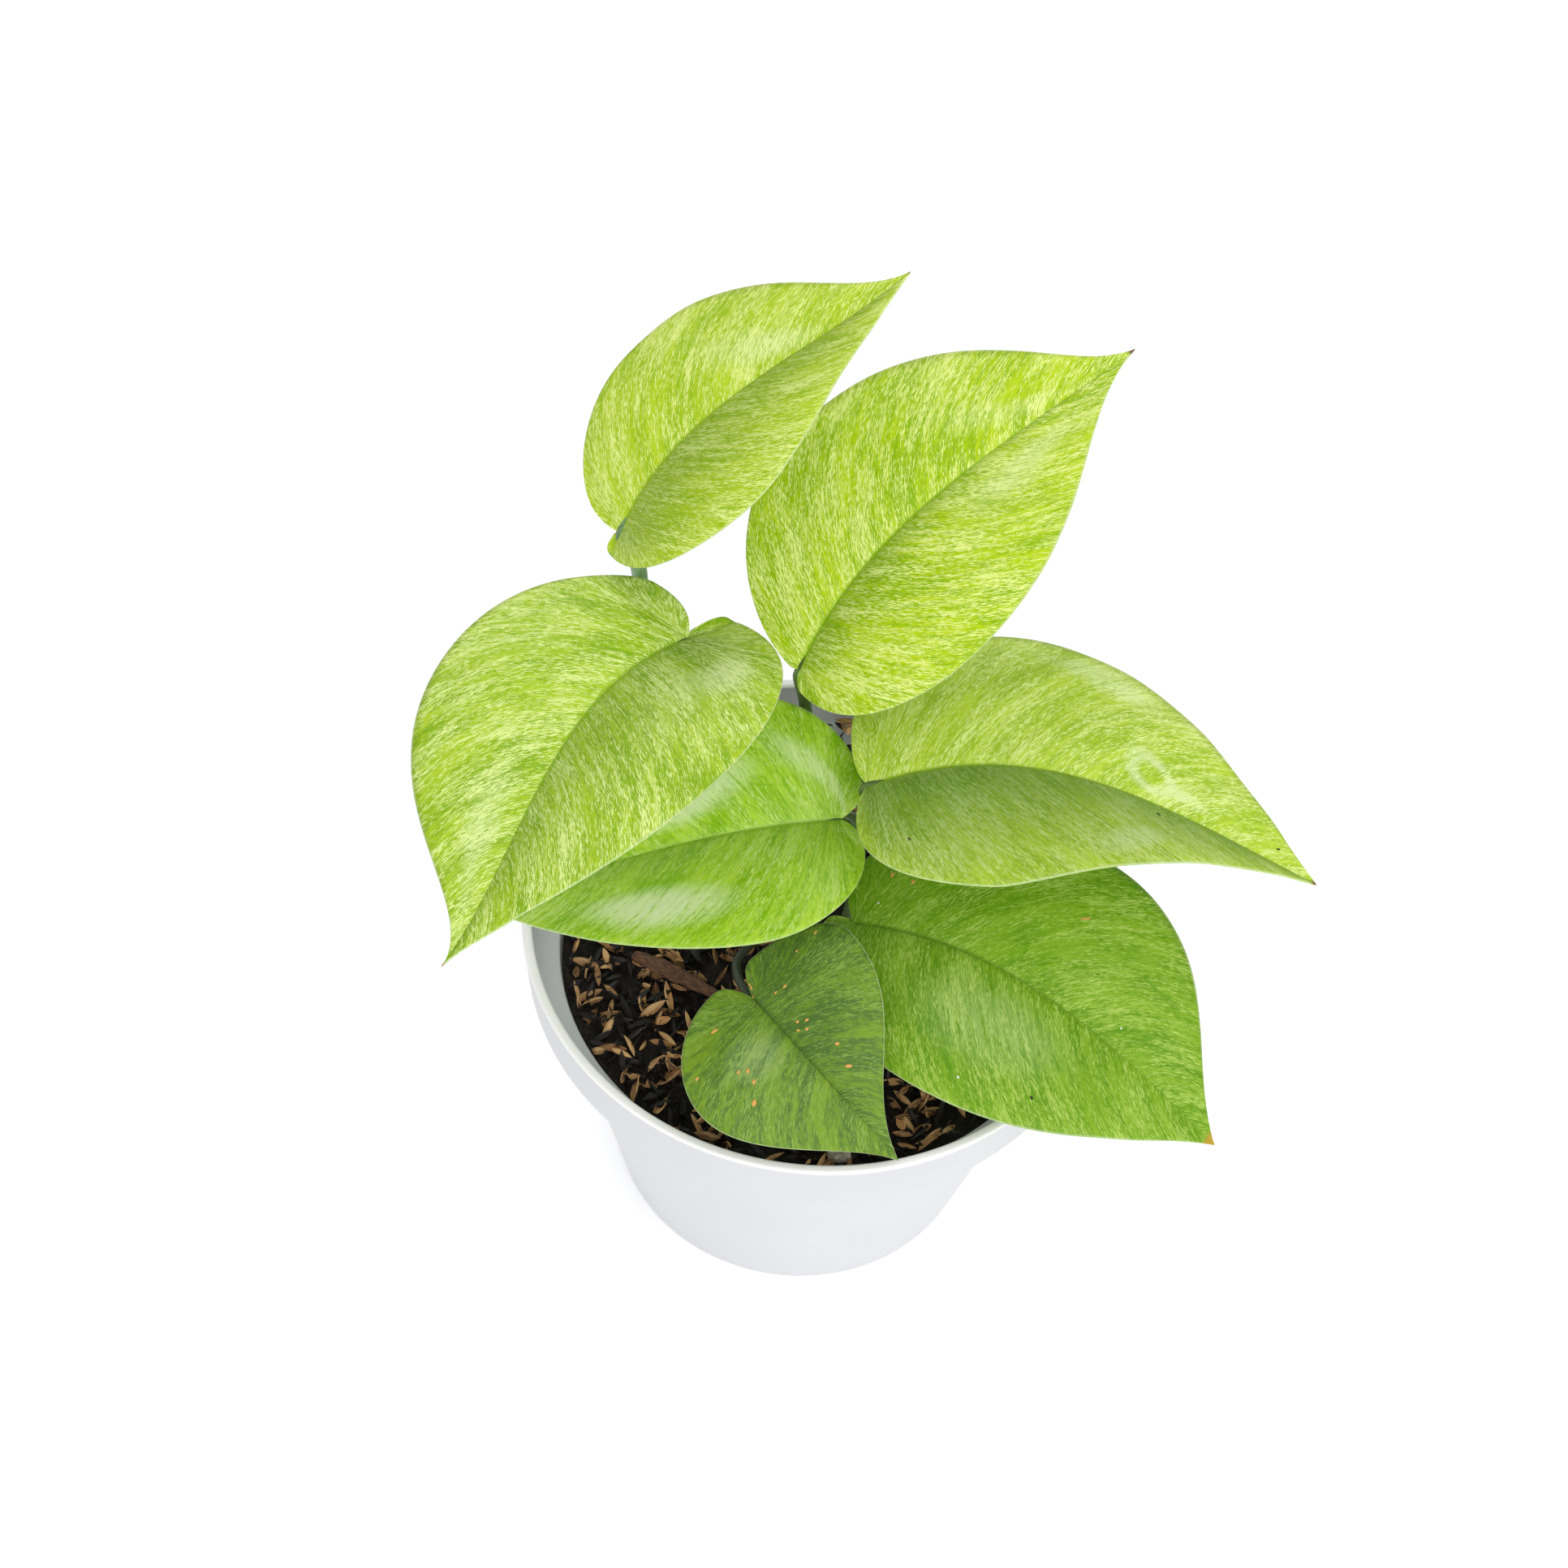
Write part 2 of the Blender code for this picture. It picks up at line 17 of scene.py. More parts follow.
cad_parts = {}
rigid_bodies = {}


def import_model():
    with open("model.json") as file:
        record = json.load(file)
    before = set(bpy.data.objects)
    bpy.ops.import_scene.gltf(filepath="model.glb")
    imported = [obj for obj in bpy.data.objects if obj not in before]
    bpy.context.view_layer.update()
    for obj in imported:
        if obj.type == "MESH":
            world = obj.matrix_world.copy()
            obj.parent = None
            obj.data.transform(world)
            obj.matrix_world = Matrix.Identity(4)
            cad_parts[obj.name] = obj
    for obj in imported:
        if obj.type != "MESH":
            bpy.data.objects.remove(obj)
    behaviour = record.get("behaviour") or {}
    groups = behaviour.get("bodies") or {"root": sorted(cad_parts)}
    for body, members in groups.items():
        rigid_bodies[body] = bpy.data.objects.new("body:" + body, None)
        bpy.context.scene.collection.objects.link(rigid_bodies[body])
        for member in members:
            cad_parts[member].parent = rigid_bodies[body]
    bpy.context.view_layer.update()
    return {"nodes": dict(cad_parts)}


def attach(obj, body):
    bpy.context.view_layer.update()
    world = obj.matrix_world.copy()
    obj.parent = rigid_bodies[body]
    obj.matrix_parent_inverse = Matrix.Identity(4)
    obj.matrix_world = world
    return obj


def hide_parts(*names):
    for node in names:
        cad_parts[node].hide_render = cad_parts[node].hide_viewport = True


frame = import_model()
MM = 0.001
print("solids:", sorted(frame["nodes"]))

# %% [markdown]
# ## Camera
# The pot's rim is a true circle, so its ellipse in the photograph gives the
# camera: 56 degrees above the rim from 1 m away, rolled 7 degrees, with a long
# lens. The camera is placed from those numbers, not moved until it looks right.

# %% Place the camera
POT_HEIGHT = 102.0
IMAGE_SIDE = 1932
FOCAL_PIXELS = 4872.9
CAMERA_DISTANCE = 1.0
CAMERA_ELEVATION = math.radians(56.12)
CAMERA_ROLL = math.radians(6.88)
RIM_PIXEL = (1008.98, 1127.32)
SENSOR = 36.0
NEAREST = 0.05


def place_object(name, data):
    """Puts a mesh, lamp or camera in the scene as an object."""
    made = bpy.data.objects.new(name, data)
    bpy.context.scene.collection.objects.link(made)
    return made


def camera_turn():
    """World-to-camera rotation that puts the rim's centre on its pixel."""
    ahead = Vector((0, math.cos(CAMERA_ELEVATION), -math.sin(CAMERA_ELEVATION)))
    right = Vector((1, 0, 0))
    level = Matrix((right, right.cross(ahead), -ahead))
    half = IMAGE_SIDE / 2
    ray = Vector((RIM_PIXEL[0] - half, half - RIM_PIXEL[1], -FOCAL_PIXELS))
    ray.normalize()
    aim = Vector((0, 0, -1)).rotation_difference(ray).to_matrix()
    roll = Quaternion(ray, CAMERA_ROLL).to_matrix()
    return roll @ aim @ level, ahead


def make_camera():
    turn, ahead = camera_turn()
    camera = bpy.data.cameras.new("camera")
    camera.sensor_width = SENSOR
    camera.lens = SENSOR * FOCAL_PIXELS / IMAGE_SIDE
    camera.clip_start = NEAREST
    holder = place_object("camera", camera)
    rim = Vector((0, 0, POT_HEIGHT * MM))
    holder.matrix_world = (
        Matrix.Translation(rim - ahead * CAMERA_DISTANCE)
        @ turn.transposed().to_4x4()
    )
    bpy.context.scene.camera = holder
    return holder


camera = make_camera()
print("camera at", [round(value, 3) for value in camera.location], "lens", camera.data.lens)

# %% [markdown]
# ## Helpers
# Every material and geometry tree below is a web of small nodes. They could be
# placed by hand in Blender's editors. Here a few helpers add a node, link its
# inputs and finish a material, so that each piece takes only some lines.

# %% Helpers for nodes and meshes
def srgb(red, green, blue):
    """A colour as 8-bit values on screen, turned into linear light."""
    values = np.array([red, green, blue]) / 255
    linear = np.where(values <= 0.04045, values / 12.92, ((values + 0.055) / 1.055) ** 2.4)
    return (*linear.tolist(), 1.0)


def put(tree, socket, value):
    """Links a socket to an input, or fills the input with a value."""
    if isinstance(value, bpy.types.NodeSocket):
        tree.links.new(value, socket)
    else:
        socket.default_value = value


def add_node(tree, kind, inputs=None, **settings):
    """Adds a node, sets its options and links or fills its inputs."""
    made = tree.nodes.new(kind)
    for key, value in settings.items():
        setattr(made, key, value)
    for key, value in (inputs or {}).items():
        put(tree, made.inputs[key], value)
    return made


def new_material(name):
    """An empty material and its node tree."""
    made = bpy.data.materials.new(name)
    made.use_nodes = True
    return made, made.node_tree


def finished(material, inputs, bump=None):
    """The material with its shader's inputs set. bump is height, strength and
    distance in metres."""
    tree = material.node_tree
    shader = tree.nodes["Principled BSDF"]
    for label, value in inputs.items():
        put(tree, shader.inputs[label], value)
    if bump:
        height, strength, distance = bump
        relief = add_node(tree, "ShaderNodeBump", {
            "Height": height, "Strength": strength, "Distance": distance,
        })
        tree.links.new(relief.outputs[0], shader.inputs["Normal"])
    return material


def mesh_from(name, bm):
    """A plain mesh made from a bmesh, which is then freed."""
    mesh = bpy.data.meshes.new(name)
    bm.to_mesh(mesh)
    bm.free()
    return mesh


print("helpers ready")

# %% [markdown]
# ## Floor and light
# A pale floor under a bright, even sky keeps the white pot readable. A large
# soft light above the front right models the pot's wall. A low one in front
# lights what faces the camera, and a weak one from behind gives the satin
# leaves some sheen.

# %% Build the studio
FLOOR_SIDE = 12.0
FLOOR_SHADE = 0.93
FLOOR_GLOW = 0.25
SKY_STRENGTH = 0.62
WHITE = (1, 1, 1, 1)
# place and aim in metres, side, power in watts
SOFTBOXES = {
    "key_softbox": ((0.7, -0.8, 1.3), (0, 0, 0.12), 1.8, 11.5),
    "front_softbox": ((0.1, -1.3, 0.75), (0, 0, 0.1), 0.9, 4.0),
    "back_softbox": ((-0.3, 0.8, 1.2), (0, 0, 0.15), 0.7, 3.0),
}


def make_floor():
    bm = bmesh.new()
    bmesh.ops.create_grid(bm, x_segments=1, y_segments=1, size=FLOOR_SIDE / 2)
    floor = place_object("floor", mesh_from("floor", bm))
    floor.data.materials.append(finished(new_material("floor_paper")[0], {
        "Base Color": (FLOOR_SHADE, FLOOR_SHADE, FLOOR_SHADE, 1), "Roughness": 0.9,
        "Specular IOR Level": 0.1, "Emission Color": WHITE, "Emission Strength": FLOOR_GLOW,
    }))


def make_light(name, place, aim, side, power):
    lamp = bpy.data.lights.new(name, "AREA")
    lamp.shape = "SQUARE"
    lamp.size = side
    lamp.energy = power
    holder = place_object(name, lamp)
    holder.location = place
    course = Vector(aim) - Vector(place)
    holder.rotation_euler = course.to_track_quat("-Z", "Y").to_euler()
    return holder


def make_sky():
    sky = bpy.data.worlds.new("sky")
    sky.use_nodes = True
    backdrop = sky.node_tree.nodes["Background"]
    backdrop.inputs["Color"].default_value = WHITE
    backdrop.inputs["Strength"].default_value = SKY_STRENGTH
    bpy.context.scene.world = sky


make_floor()
make_sky()
lights = [make_light(name, *values) for name, values in SOFTBOXES.items()]
bpy.context.scene.view_settings.view_transform = "Standard"
print("floor and", len(lights), "softboxes")

# %% [markdown]
# ## Sizes of the plant
# The leaf table is the same as in the solids: where each blade meets its
# stalk, how it lies, and its outline on either side of the midrib. A blade is
# lopsided in a real pothos too, because it unrolls from one side.

# %% Leaf table
VINE_LINE = [
    ((-0.6, 11.0, -30.0), 2.7),
    ((-2.0, 13.5, -15.0), 2.8),
    ((-4.5, 17.5, 0.0), 2.8),
    ((-8.0, 22.0, 15.0), 2.7),
    ((-12.5, 27.0, 30.0), 2.5),
    ((-18.5, 32.0, 43.0), 2.0),
    ((-24.0, 34.5, 50.0), 0.5),
]
LOBE_ROUNDNESS = 0.55
LOBE_DIP = 1.0
LOBE_TURN = 2.5
CURL = 0.25

# base, length, heading, pitch, roll, bend, arch, skew and fold place a blade,
# in millimetres and degrees. left and right are its half outlines: lobe
# behind the base, lobe width, widest place, half width, fullness, tip
# fullness, tip angle. petiole is height on the vine, side, radius, route.
LEAVES = {
    1: dict(
        base=(-57.9, 36.5, 98.0), length=92.3, heading=41.5, pitch=27.9,
        roll=-9.8, bend=1.9, arch=6.4, skew=0.95, fold=0.32,
        left=(1.5, 7.5, 39.8, 30.1, 0.53, 0.34, 14),
        right=(5.5, -0.4, 28.4, 31.1, 0.26, 0.53, 26),
        petiole=(36.0, 130.0, 2.0, [
            (-33, 35, 46), (-42, 37, 53), (-49, 37.5, 62), (-52, 36.5, 76), (-53.5, 36, 88),
        ]),
    ),
    2: dict(
        base=(-11.8, 24.0, 70.0), length=111.7, heading=44.4, pitch=26.7,
        roll=1.0, bend=5.2, arch=5.9, skew=0.56, fold=0.28,
        left=(1.5, 2.5, 39.2, 38.2, 0.69, 0.29, 16),
        right=(4.1, 4.3, 35.9, 37.9, 0.51, 0.30, 13),
        petiole=(16.0, 40.0, 1.8, [(-8.5, 33, 34), (-10, 32, 47), (-11.5, 27, 61)]),
    ),
    3: dict(
        base=(-38.9, 16.4, 86.0), length=101.9, heading=-116.5, pitch=-8.7,
        roll=3.3, bend=-6.0, arch=4.5, skew=0.95, fold=0.33,
        left=(11.2, -1.2, 25.1, 38.5, 0.43, 0.16, 9),
        right=(8.6, 18.9, 36.6, 36.4, 0.67, 0.29, 1),
        petiole=(27.0, 200.0, 1.6, [(-26, 31, 52), (-35, 28, 68), (-37.5, 20.5, 80)]),
    ),
    4: dict(
        base=(7.9, 0.0, 58.0), length=113.8, heading=0.5, pitch=-10.2,
        roll=-6.9, bend=8.5, arch=9.4, skew=0.44, fold=0.30,
        left=(5.2, 19.7, 28.8, 41.1, 0.58, 0.41, 36),
        right=(2.5, 13.0, 29.3, 41.2, 0.17, 0.49, 22),
        petiole=(7.0, -10.0, 1.6, [(9, 14, 24), (15, 7, 40), (14, 2, 50)]),
    ),
    5: dict(
        base=(2.1, -1.6, 45.0), length=92.1, heading=-167.1, pitch=-16.8,
        roll=-8.1, bend=-0.8, arch=4.8, skew=0.54, fold=0.39,
        left=(5.0, 9.6, 22.5, 32.7, 0.38, 0.29, 46),
        right=(7.3, 8.2, 19.7, 33.8, 0.55, 0.35, 17),
        petiole=(0.0, -75.0, 1.5, [(4, 4, 16), (7.5, -1, 30), (6, -1.5, 40)]),
    ),
    6: dict(
        base=(8.8, -13.8, 19.0), length=103.7, heading=-26.3, pitch=-4.7,
        roll=12.1, bend=7.7, arch=5.8, skew=0.33, fold=0.28,
        left=(6.4, 17.0, 46.0, 37.8, 0.63, 0.36, 32),
        right=(6.5, -0.1, 37.0, 37.3, 0.48, 0.29, 38),
        petiole=(-6.0, -20.0, 1.5, [(7, 4, 4), (7, -6, 11), (7.5, -11.5, 15.5)]),
    ),
    7: dict(
        base=(-13.1, -42.7, 24.0), length=52.4, heading=-35.1, pitch=-23.4,
        roll=25.0, bend=0.0, arch=4.9, skew=0.36, fold=0.37,
        left=(7.6, 6.0, 3.4, 28.0, 0.46, 0.45, 15),
        right=(7.4, 6.7, 11.9, 28.2, 0.39, 0.35, 26),
        petiole=(-9.0, 225.0, 1.2, [(-13, -7, 2), (-18.5, -24, 12), (-17.5, -34, 18.5)]),
    ),
}
print(len(LEAVES), "leaves")

# %% [markdown]
# ## Blades
# A blade is a grid laid on its outline. Its columns are the side veins. They
# leave the midrib at about 55 degrees, most of them in its lower half, and
# swing round until they run beside the margin. Its rows run along the leaf,
# closest together beside the midrib. A leaf could also be sculpted from a
# plane, but on this grid each point knows its place along and across the
# veins, which the colours need later.

# %% Outline and veins of a blade
LOBE_STEPS = 14
SHOULDER_STEPS = 34
TIP_STEPS = 70
HALF_STEPS = 22
ROW_CROWDING = 1.5
VEIN_LAG = 2.6
VEIN_LEAVE = 0.35


def above_rim(point):
    return Vector((point[0], point[1], point[2] + POT_HEIGHT))


def lobe_handles(back, lobe):
    """Handles of the margin from the notch to the lobe's rear. A lobe that
    crosses the midrib's line swings out past it first."""
    if lobe < 0:
        return Vector((-0.15 * back, lobe - LOBE_DIP)), Vector((-back, lobe - LOBE_TURN))
    return Vector((-0.55 * back, 0.2 * lobe)), Vector((-back, 0.5 * lobe))


def half_outline(length, side):
    """Margin points of one half of a blade and the foot of each one's vein."""
    back, lobe, widest, half, full, tip_full, tip_angle = side
    angle = math.radians(tip_angle)
    notch = Vector((0, 0))
    rear = Vector((-back, lobe))
    wide = Vector((widest, half))
    tip = Vector((length, 0))
    reach = length - widest
    arcs = [
        (notch, *lobe_handles(back, lobe), rear, LOBE_STEPS),
        (rear, rear + Vector((0, LOBE_ROUNDNESS * (half - lobe))),
         wide - Vector((LOBE_ROUNDNESS * (widest + back), 0)), wide, SHOULDER_STEPS),
        (wide, wide + Vector((full * reach, 0)),
         tip - Vector((math.cos(angle), -math.sin(angle))) * tip_full * reach,
         tip, TIP_STEPS),
    ]
    line = [notch]
    for start, leave, arrive, end, steps in arcs:
        line += interpolate_bezier(start, leave, arrive, end, steps + 1)[1:]
    points = np.array([(point[0], point[1]) for point in line])
    pieces = np.linalg.norm(np.diff(points[LOBE_STEPS:], axis=0), axis=1)
    margin_share = np.concatenate([[0], np.cumsum(pieces)]) / pieces.sum()
    feet = np.concatenate([np.zeros(LOBE_STEPS), length * margin_share ** VEIN_LAG])
    return points, feet


def blade_grid(entry):
    """For each point of the grid: flat place, place across and along the veins, shares."""
    length = entry["length"]
    steps = np.arange(-HALF_STEPS, HALF_STEPS + 1) / HALF_STEPS
    rows = []
    for share in np.sign(steps) * np.abs(steps) ** ROW_CROWDING:
        outline, feet = half_outline(length, entry["left" if share >= 0 else "right"])
        size = abs(share)
        slant = outline[:, 0] - feet
        reach = np.hypot(slant, outline[:, 1])
        leave, arrive = 2 * size * (1 - size), size ** 2
        along = feet + slant * (VEIN_LEAVE * leave + arrive)
        across = outline[:, 1] * ((1 - VEIN_LEAVE) * leave + arrive) * np.sign(share)
        middle = feet + slant / 2
        between_veins = np.hypot(np.diff(middle), np.diff(outline[:, 1]) / 2)
        around = np.concatenate([[0], np.cumsum(between_veins)])
        rows.append(np.stack([
            along, across, around, reach * share, along / length, 0 * along + share,
        ], axis=1))
    return np.array(rows)


grid = blade_grid(LEAVES[2])
print("grid of leaf 2:", grid.shape[:2], "longest vein", round(grid[:, :, 3].max(), 1), "mm")

# %% [markdown]
# The flat grid is then arched, folded up along the midrib and curled down at
# its margins. Formulas do this better than a sculpting brush here, because the
# stalk has to follow the same form under the blade. A groove runs over the
# midrib, and shallow waves keep the sheen from looking machined.

# %% Form of a blade
BLADE_THICKNESS = 0.5
BACK_SHARE = -0.35
GROOVE_DEPTH = 0.5
GROOVE_WIDTH = 0.8
GROOVE_END = 1.1
QUILT_DEPTH = 0.55
QUILT_SIZE = 15.0
QUILT_START = 8.0
QUILT_SEED = 7.0


def blade_form(entry, along, across):
    """A flat place as a point of the arched, folded blade."""
    length = entry["length"]
    share = np.maximum(BACK_SHARE, along / length)
    skew = entry["skew"]
    hump = np.where(
        share > 0,
        4 * share * (1 - share) * (1 + skew * (1 - 2 * share)),
        4 * share * (1 + skew),
    )
    half = (entry["left"][3] + entry["right"][3]) / 2
    rise = np.abs(across) / half
    lift = half * (entry["fold"] * rise - CURL * rise * rise)
    return along, across + entry["bend"] * hump, entry["arch"] * hump + lift


def blade_matrix(entry):
    """The blade's frame: X from base to tip, Y to its left, Z off its face."""
    turn = (
        Matrix.Rotation(math.radians(entry["heading"]), 4, "Z")
        @ Matrix.Rotation(-math.radians(entry["pitch"]), 4, "Y")
        @ Matrix.Rotation(math.radians(entry["roll"]), 4, "X")
    )
    return Matrix.Translation(above_rim(entry["base"])) @ turn


def surface_detail(entry, grid, number):
    """The sunken midrib and gentle waves along the veins."""
    along, across, around, reach = (grid[:, :, index] for index in range(4))
    fade = np.clip(GROOVE_END - along / entry["length"], 0, 1)
    groove = -GROOVE_DEPTH * fade * np.exp(-((across / GROOVE_WIDTH) ** 2))
    waves = [
        noise.noise(Vector((u / QUILT_SIZE, v / (2 * QUILT_SIZE), number * QUILT_SEED)))
        for u, v in zip(around.ravel(), reach.ravel())
    ]
    start = np.minimum(1, np.abs(across) / QUILT_START)
    return groove + QUILT_DEPTH * np.array(waves).reshape(along.shape) * start


def blade_points(number):
    """The blade's grid with its points in the pot's frame, in millimetres."""
    entry = LEAVES[number]
    grid = blade_grid(entry)
    x, y, z = blade_form(entry, grid[:, :, 0], grid[:, :, 1])
    z = z + surface_detail(entry, grid, number)
    flat = np.stack([x, y, z, np.ones_like(x)], axis=2)
    return grid, (flat @ np.array(blade_matrix(entry)).T)[:, :, :3]


grid, points = blade_points(2)
print("leaf 2 reaches", points.reshape(-1, 3).max(axis=0).round(1), "mm")

# %% [markdown]
# Each point also keeps which way its vein runs, so that the flecks can be
# drawn out along it. Solidify then gives the sheet the thickness of a real
# blade, with the underside as a second material.

# %% Build the blades
VEIN_SEED = 31.0
BLADE_MERGE = 0.02


def link_mesh(name, bm, smooth_faces=True):
    """Hands a bmesh in millimetres over as an object in metres."""
    bmesh.ops.scale(bm, vec=Vector((MM, MM, MM)), verts=bm.verts)
    obj = place_object(name, mesh_from(name, bm))
    if smooth_faces:
        obj.data.shade_smooth()
    return obj


def baked(obj):
    """Applies the object's modifiers."""
    graph = bpy.context.evaluated_depsgraph_get()
    mesh = bpy.data.meshes.new_from_object(obj.evaluated_get(graph))
    obj.modifiers.clear()
    obj.data = mesh
    return obj


def vein_courses(points):
    """Which way the vein runs at each point of the grid, away from the midrib."""
    steps = np.gradient(points, axis=0)
    steps[:HALF_STEPS] *= -1
    steps[HALF_STEPS] = np.gradient(points[HALF_STEPS], axis=0)
    sizes = np.linalg.norm(steps, axis=2, keepdims=True)
    return steps / np.maximum(sizes, 1e-6)


def blade_up(number):
    """The direction off the blade's upper face."""
    return blade_matrix(LEAVES[number]).to_3x3() @ Vector((0, 0, 1))


def face_up(bm, up):
    """Turns all the sheet's faces to the side that up points to."""
    bmesh.ops.recalc_face_normals(bm, faces=bm.faces)
    total = sum((face.normal * face.calc_area() for face in bm.faces), Vector())
    if total.dot(up) < 0:
        bmesh.ops.reverse_faces(bm, faces=bm.faces)


def make_blade(number):
    grid, points = blade_points(number)
    courses = vein_courses(points)
    rows, columns = grid.shape[:2]
    bm = bmesh.new()
    bmesh.ops.create_grid(bm, x_segments=columns - 1, y_segments=rows - 1, size=0.5)
    veins, shares, course = (
        bm.verts.layers.float_vector.new(name) for name in ("veins", "shares", "course")
    )
    for vertex in bm.verts:
        column = round((vertex.co.x + 0.5) * (columns - 1))
        row = round((vertex.co.y + 0.5) * (rows - 1))
        vertex[veins] = (grid[row, column, 2], grid[row, column, 3], number * VEIN_SEED)
        vertex[shares] = (grid[row, column, 4], grid[row, column, 5], 0)
        vertex[course] = courses[row, column]
        vertex.co = points[row, column]
    bmesh.ops.remove_doubles(bm, verts=bm.verts, dist=BLADE_MERGE)
    face_up(bm, blade_up(number))
    blade = link_mesh(f"blade_{number}", bm)
    solid = blade.modifiers.new("thickness", "SOLIDIFY")
    solid.thickness = BLADE_THICKNESS * MM
    solid.offset = 0.0
    solid.material_offset = 1
    return blade


blades = {number: make_blade(number) for number in LEAVES}
print("faces in each blade's sheet:", [len(blade.data.polygons) for blade in blades.values()])

# %% [markdown]
# ## Leaf colour
# The satin look is a film of air under the leaf's skin, broken into small
# dashes that lie along the veins. Noise sampled at several points along the
# vein and averaged gives such dashes, as a brush drawn that way would. Broad
# streaks of deeper green follow the veins under them.

# %% Helpers for materials
def math_node(tree, operation, *values):
    inputs = dict(enumerate(values))
    return add_node(tree, "ShaderNodeMath", inputs, operation=operation).outputs[0]


def vector_node(tree, operation, *values):
    inputs = dict(enumerate(values))
    return add_node(tree, "ShaderNodeVectorMath", inputs, operation=operation).outputs[0]


def product(tree, *values):
    total = values[0]
    for value in values[1:]:
        total = math_node(tree, "MULTIPLY", total, value)
    return total


def weighted_sum(tree, *parts):
    """The sum of values, as pairs of weight and value."""
    total = 0.0
    for weight, value in parts:
        total = math_node(tree, "MULTIPLY_ADD", value, weight, total)
    return total


def split(tree, vector):
    """The three parts of a vector."""
    return add_node(tree, "ShaderNodeSeparateXYZ", {0: vector}).outputs


def length_of(tree, vector):
    size = add_node(tree, "ShaderNodeVectorMath", {0: vector}, operation="LENGTH")
    return size.outputs["Value"]


def mix_colours(tree, factor, first, second, blend_type="MIX"):
    """Two colours mixed. A colour is a socket or three 8-bit values."""
    colours = [
        value if isinstance(value, bpy.types.NodeSocket) else srgb(*value)
        for value in (first, second)
    ]
    inputs = {0: factor, 6: colours[0], 7: colours[1]}
    made = add_node(tree, "ShaderNodeMix", data_type="RGBA", blend_type=blend_type)
    for index, value in inputs.items():
        put(tree, made.inputs[index], value)
    return made.outputs[2]


def ramp(tree, value, low, high):
    """0 below low, 1 above high and smooth between."""
    return add_node(tree, "ShaderNodeMapRange", {
        "Value": value, "From Min": low, "From Max": high,
    }, interpolation_type="SMOOTHSTEP").outputs["Result"]


def fall(tree, value, low, high):
    """1 below low, 0 above high and smooth between."""
    return math_node(tree, "SUBTRACT", 1.0, ramp(tree, value, low, high))


def attribute(tree, name):
    return add_node(tree, "ShaderNodeAttribute", attribute_name=name).outputs["Vector"]


def object_place(tree):
    return add_node(tree, "ShaderNodeTexCoord").outputs["Object"]


def grains(tree, place, scale, detail=0.0, rough=0.6):
    return add_node(tree, "ShaderNodeTexNoise", {
        "Vector": place, "Scale": scale, "Detail": detail, "Roughness": rough,
    }).outputs["Fac"]


print("helpers ready")

# %% [markdown]
# Two kinds of noise make the pattern of a leaf: one is drawn out along the
# veins for the dashes, and one lies in the leaf's own vein places for clouds
# and streaks. A patch is a soft oval of painted sheen, where the film is also
# dense or thin.

# %% Patterns along the veins
PATCH_CORE = 0.2


def drawn_out(tree, size, step, count):
    """Noise smeared along the veins: count samples, step apart, in metres."""
    place = object_place(tree)
    course = attribute(tree, "course")
    samples = []
    for index in range(count):
        reach = (index - (count - 1) / 2) * step
        spot = vector_node(tree, "MULTIPLY_ADD", course, (reach, reach, reach), place)
        samples.append((1 / count, grains(tree, spot, 1 / size)))
    return weighted_sum(tree, *samples)


def vein_noise(tree, across, along, detail=2.0, start=0.0):
    """Noise in the leaf's own vein places, with grains of the given millimetres."""
    place = vector_node(
        tree, "MULTIPLY_ADD", attribute(tree, "veins"),
        (1 / across, 1 / along, 1), (start, start, start),
    )
    return grains(tree, place, 1.0, detail)


def patch(tree, spot, hole=0.0):
    """1 at a place of the blade, given by its shares, fading to 0 at its reach.
    A hole leaves the middle out."""
    along, side, long, wide, turn = spot
    turned = add_node(tree, "ShaderNodeMapping", {
        "Vector": attribute(tree, "shares"), "Location": (along, side, 0),
        "Rotation": (0, 0, turn), "Scale": (long, wide, 1),
    }, vector_type="TEXTURE").outputs[0]
    size = length_of(tree, turned)
    full = fall(tree, size, max(PATCH_CORE, hole), 1.0)
    return product(tree, full, ramp(tree, size, 0.5 * hole - 0.01, hole))


print("patterns ready")
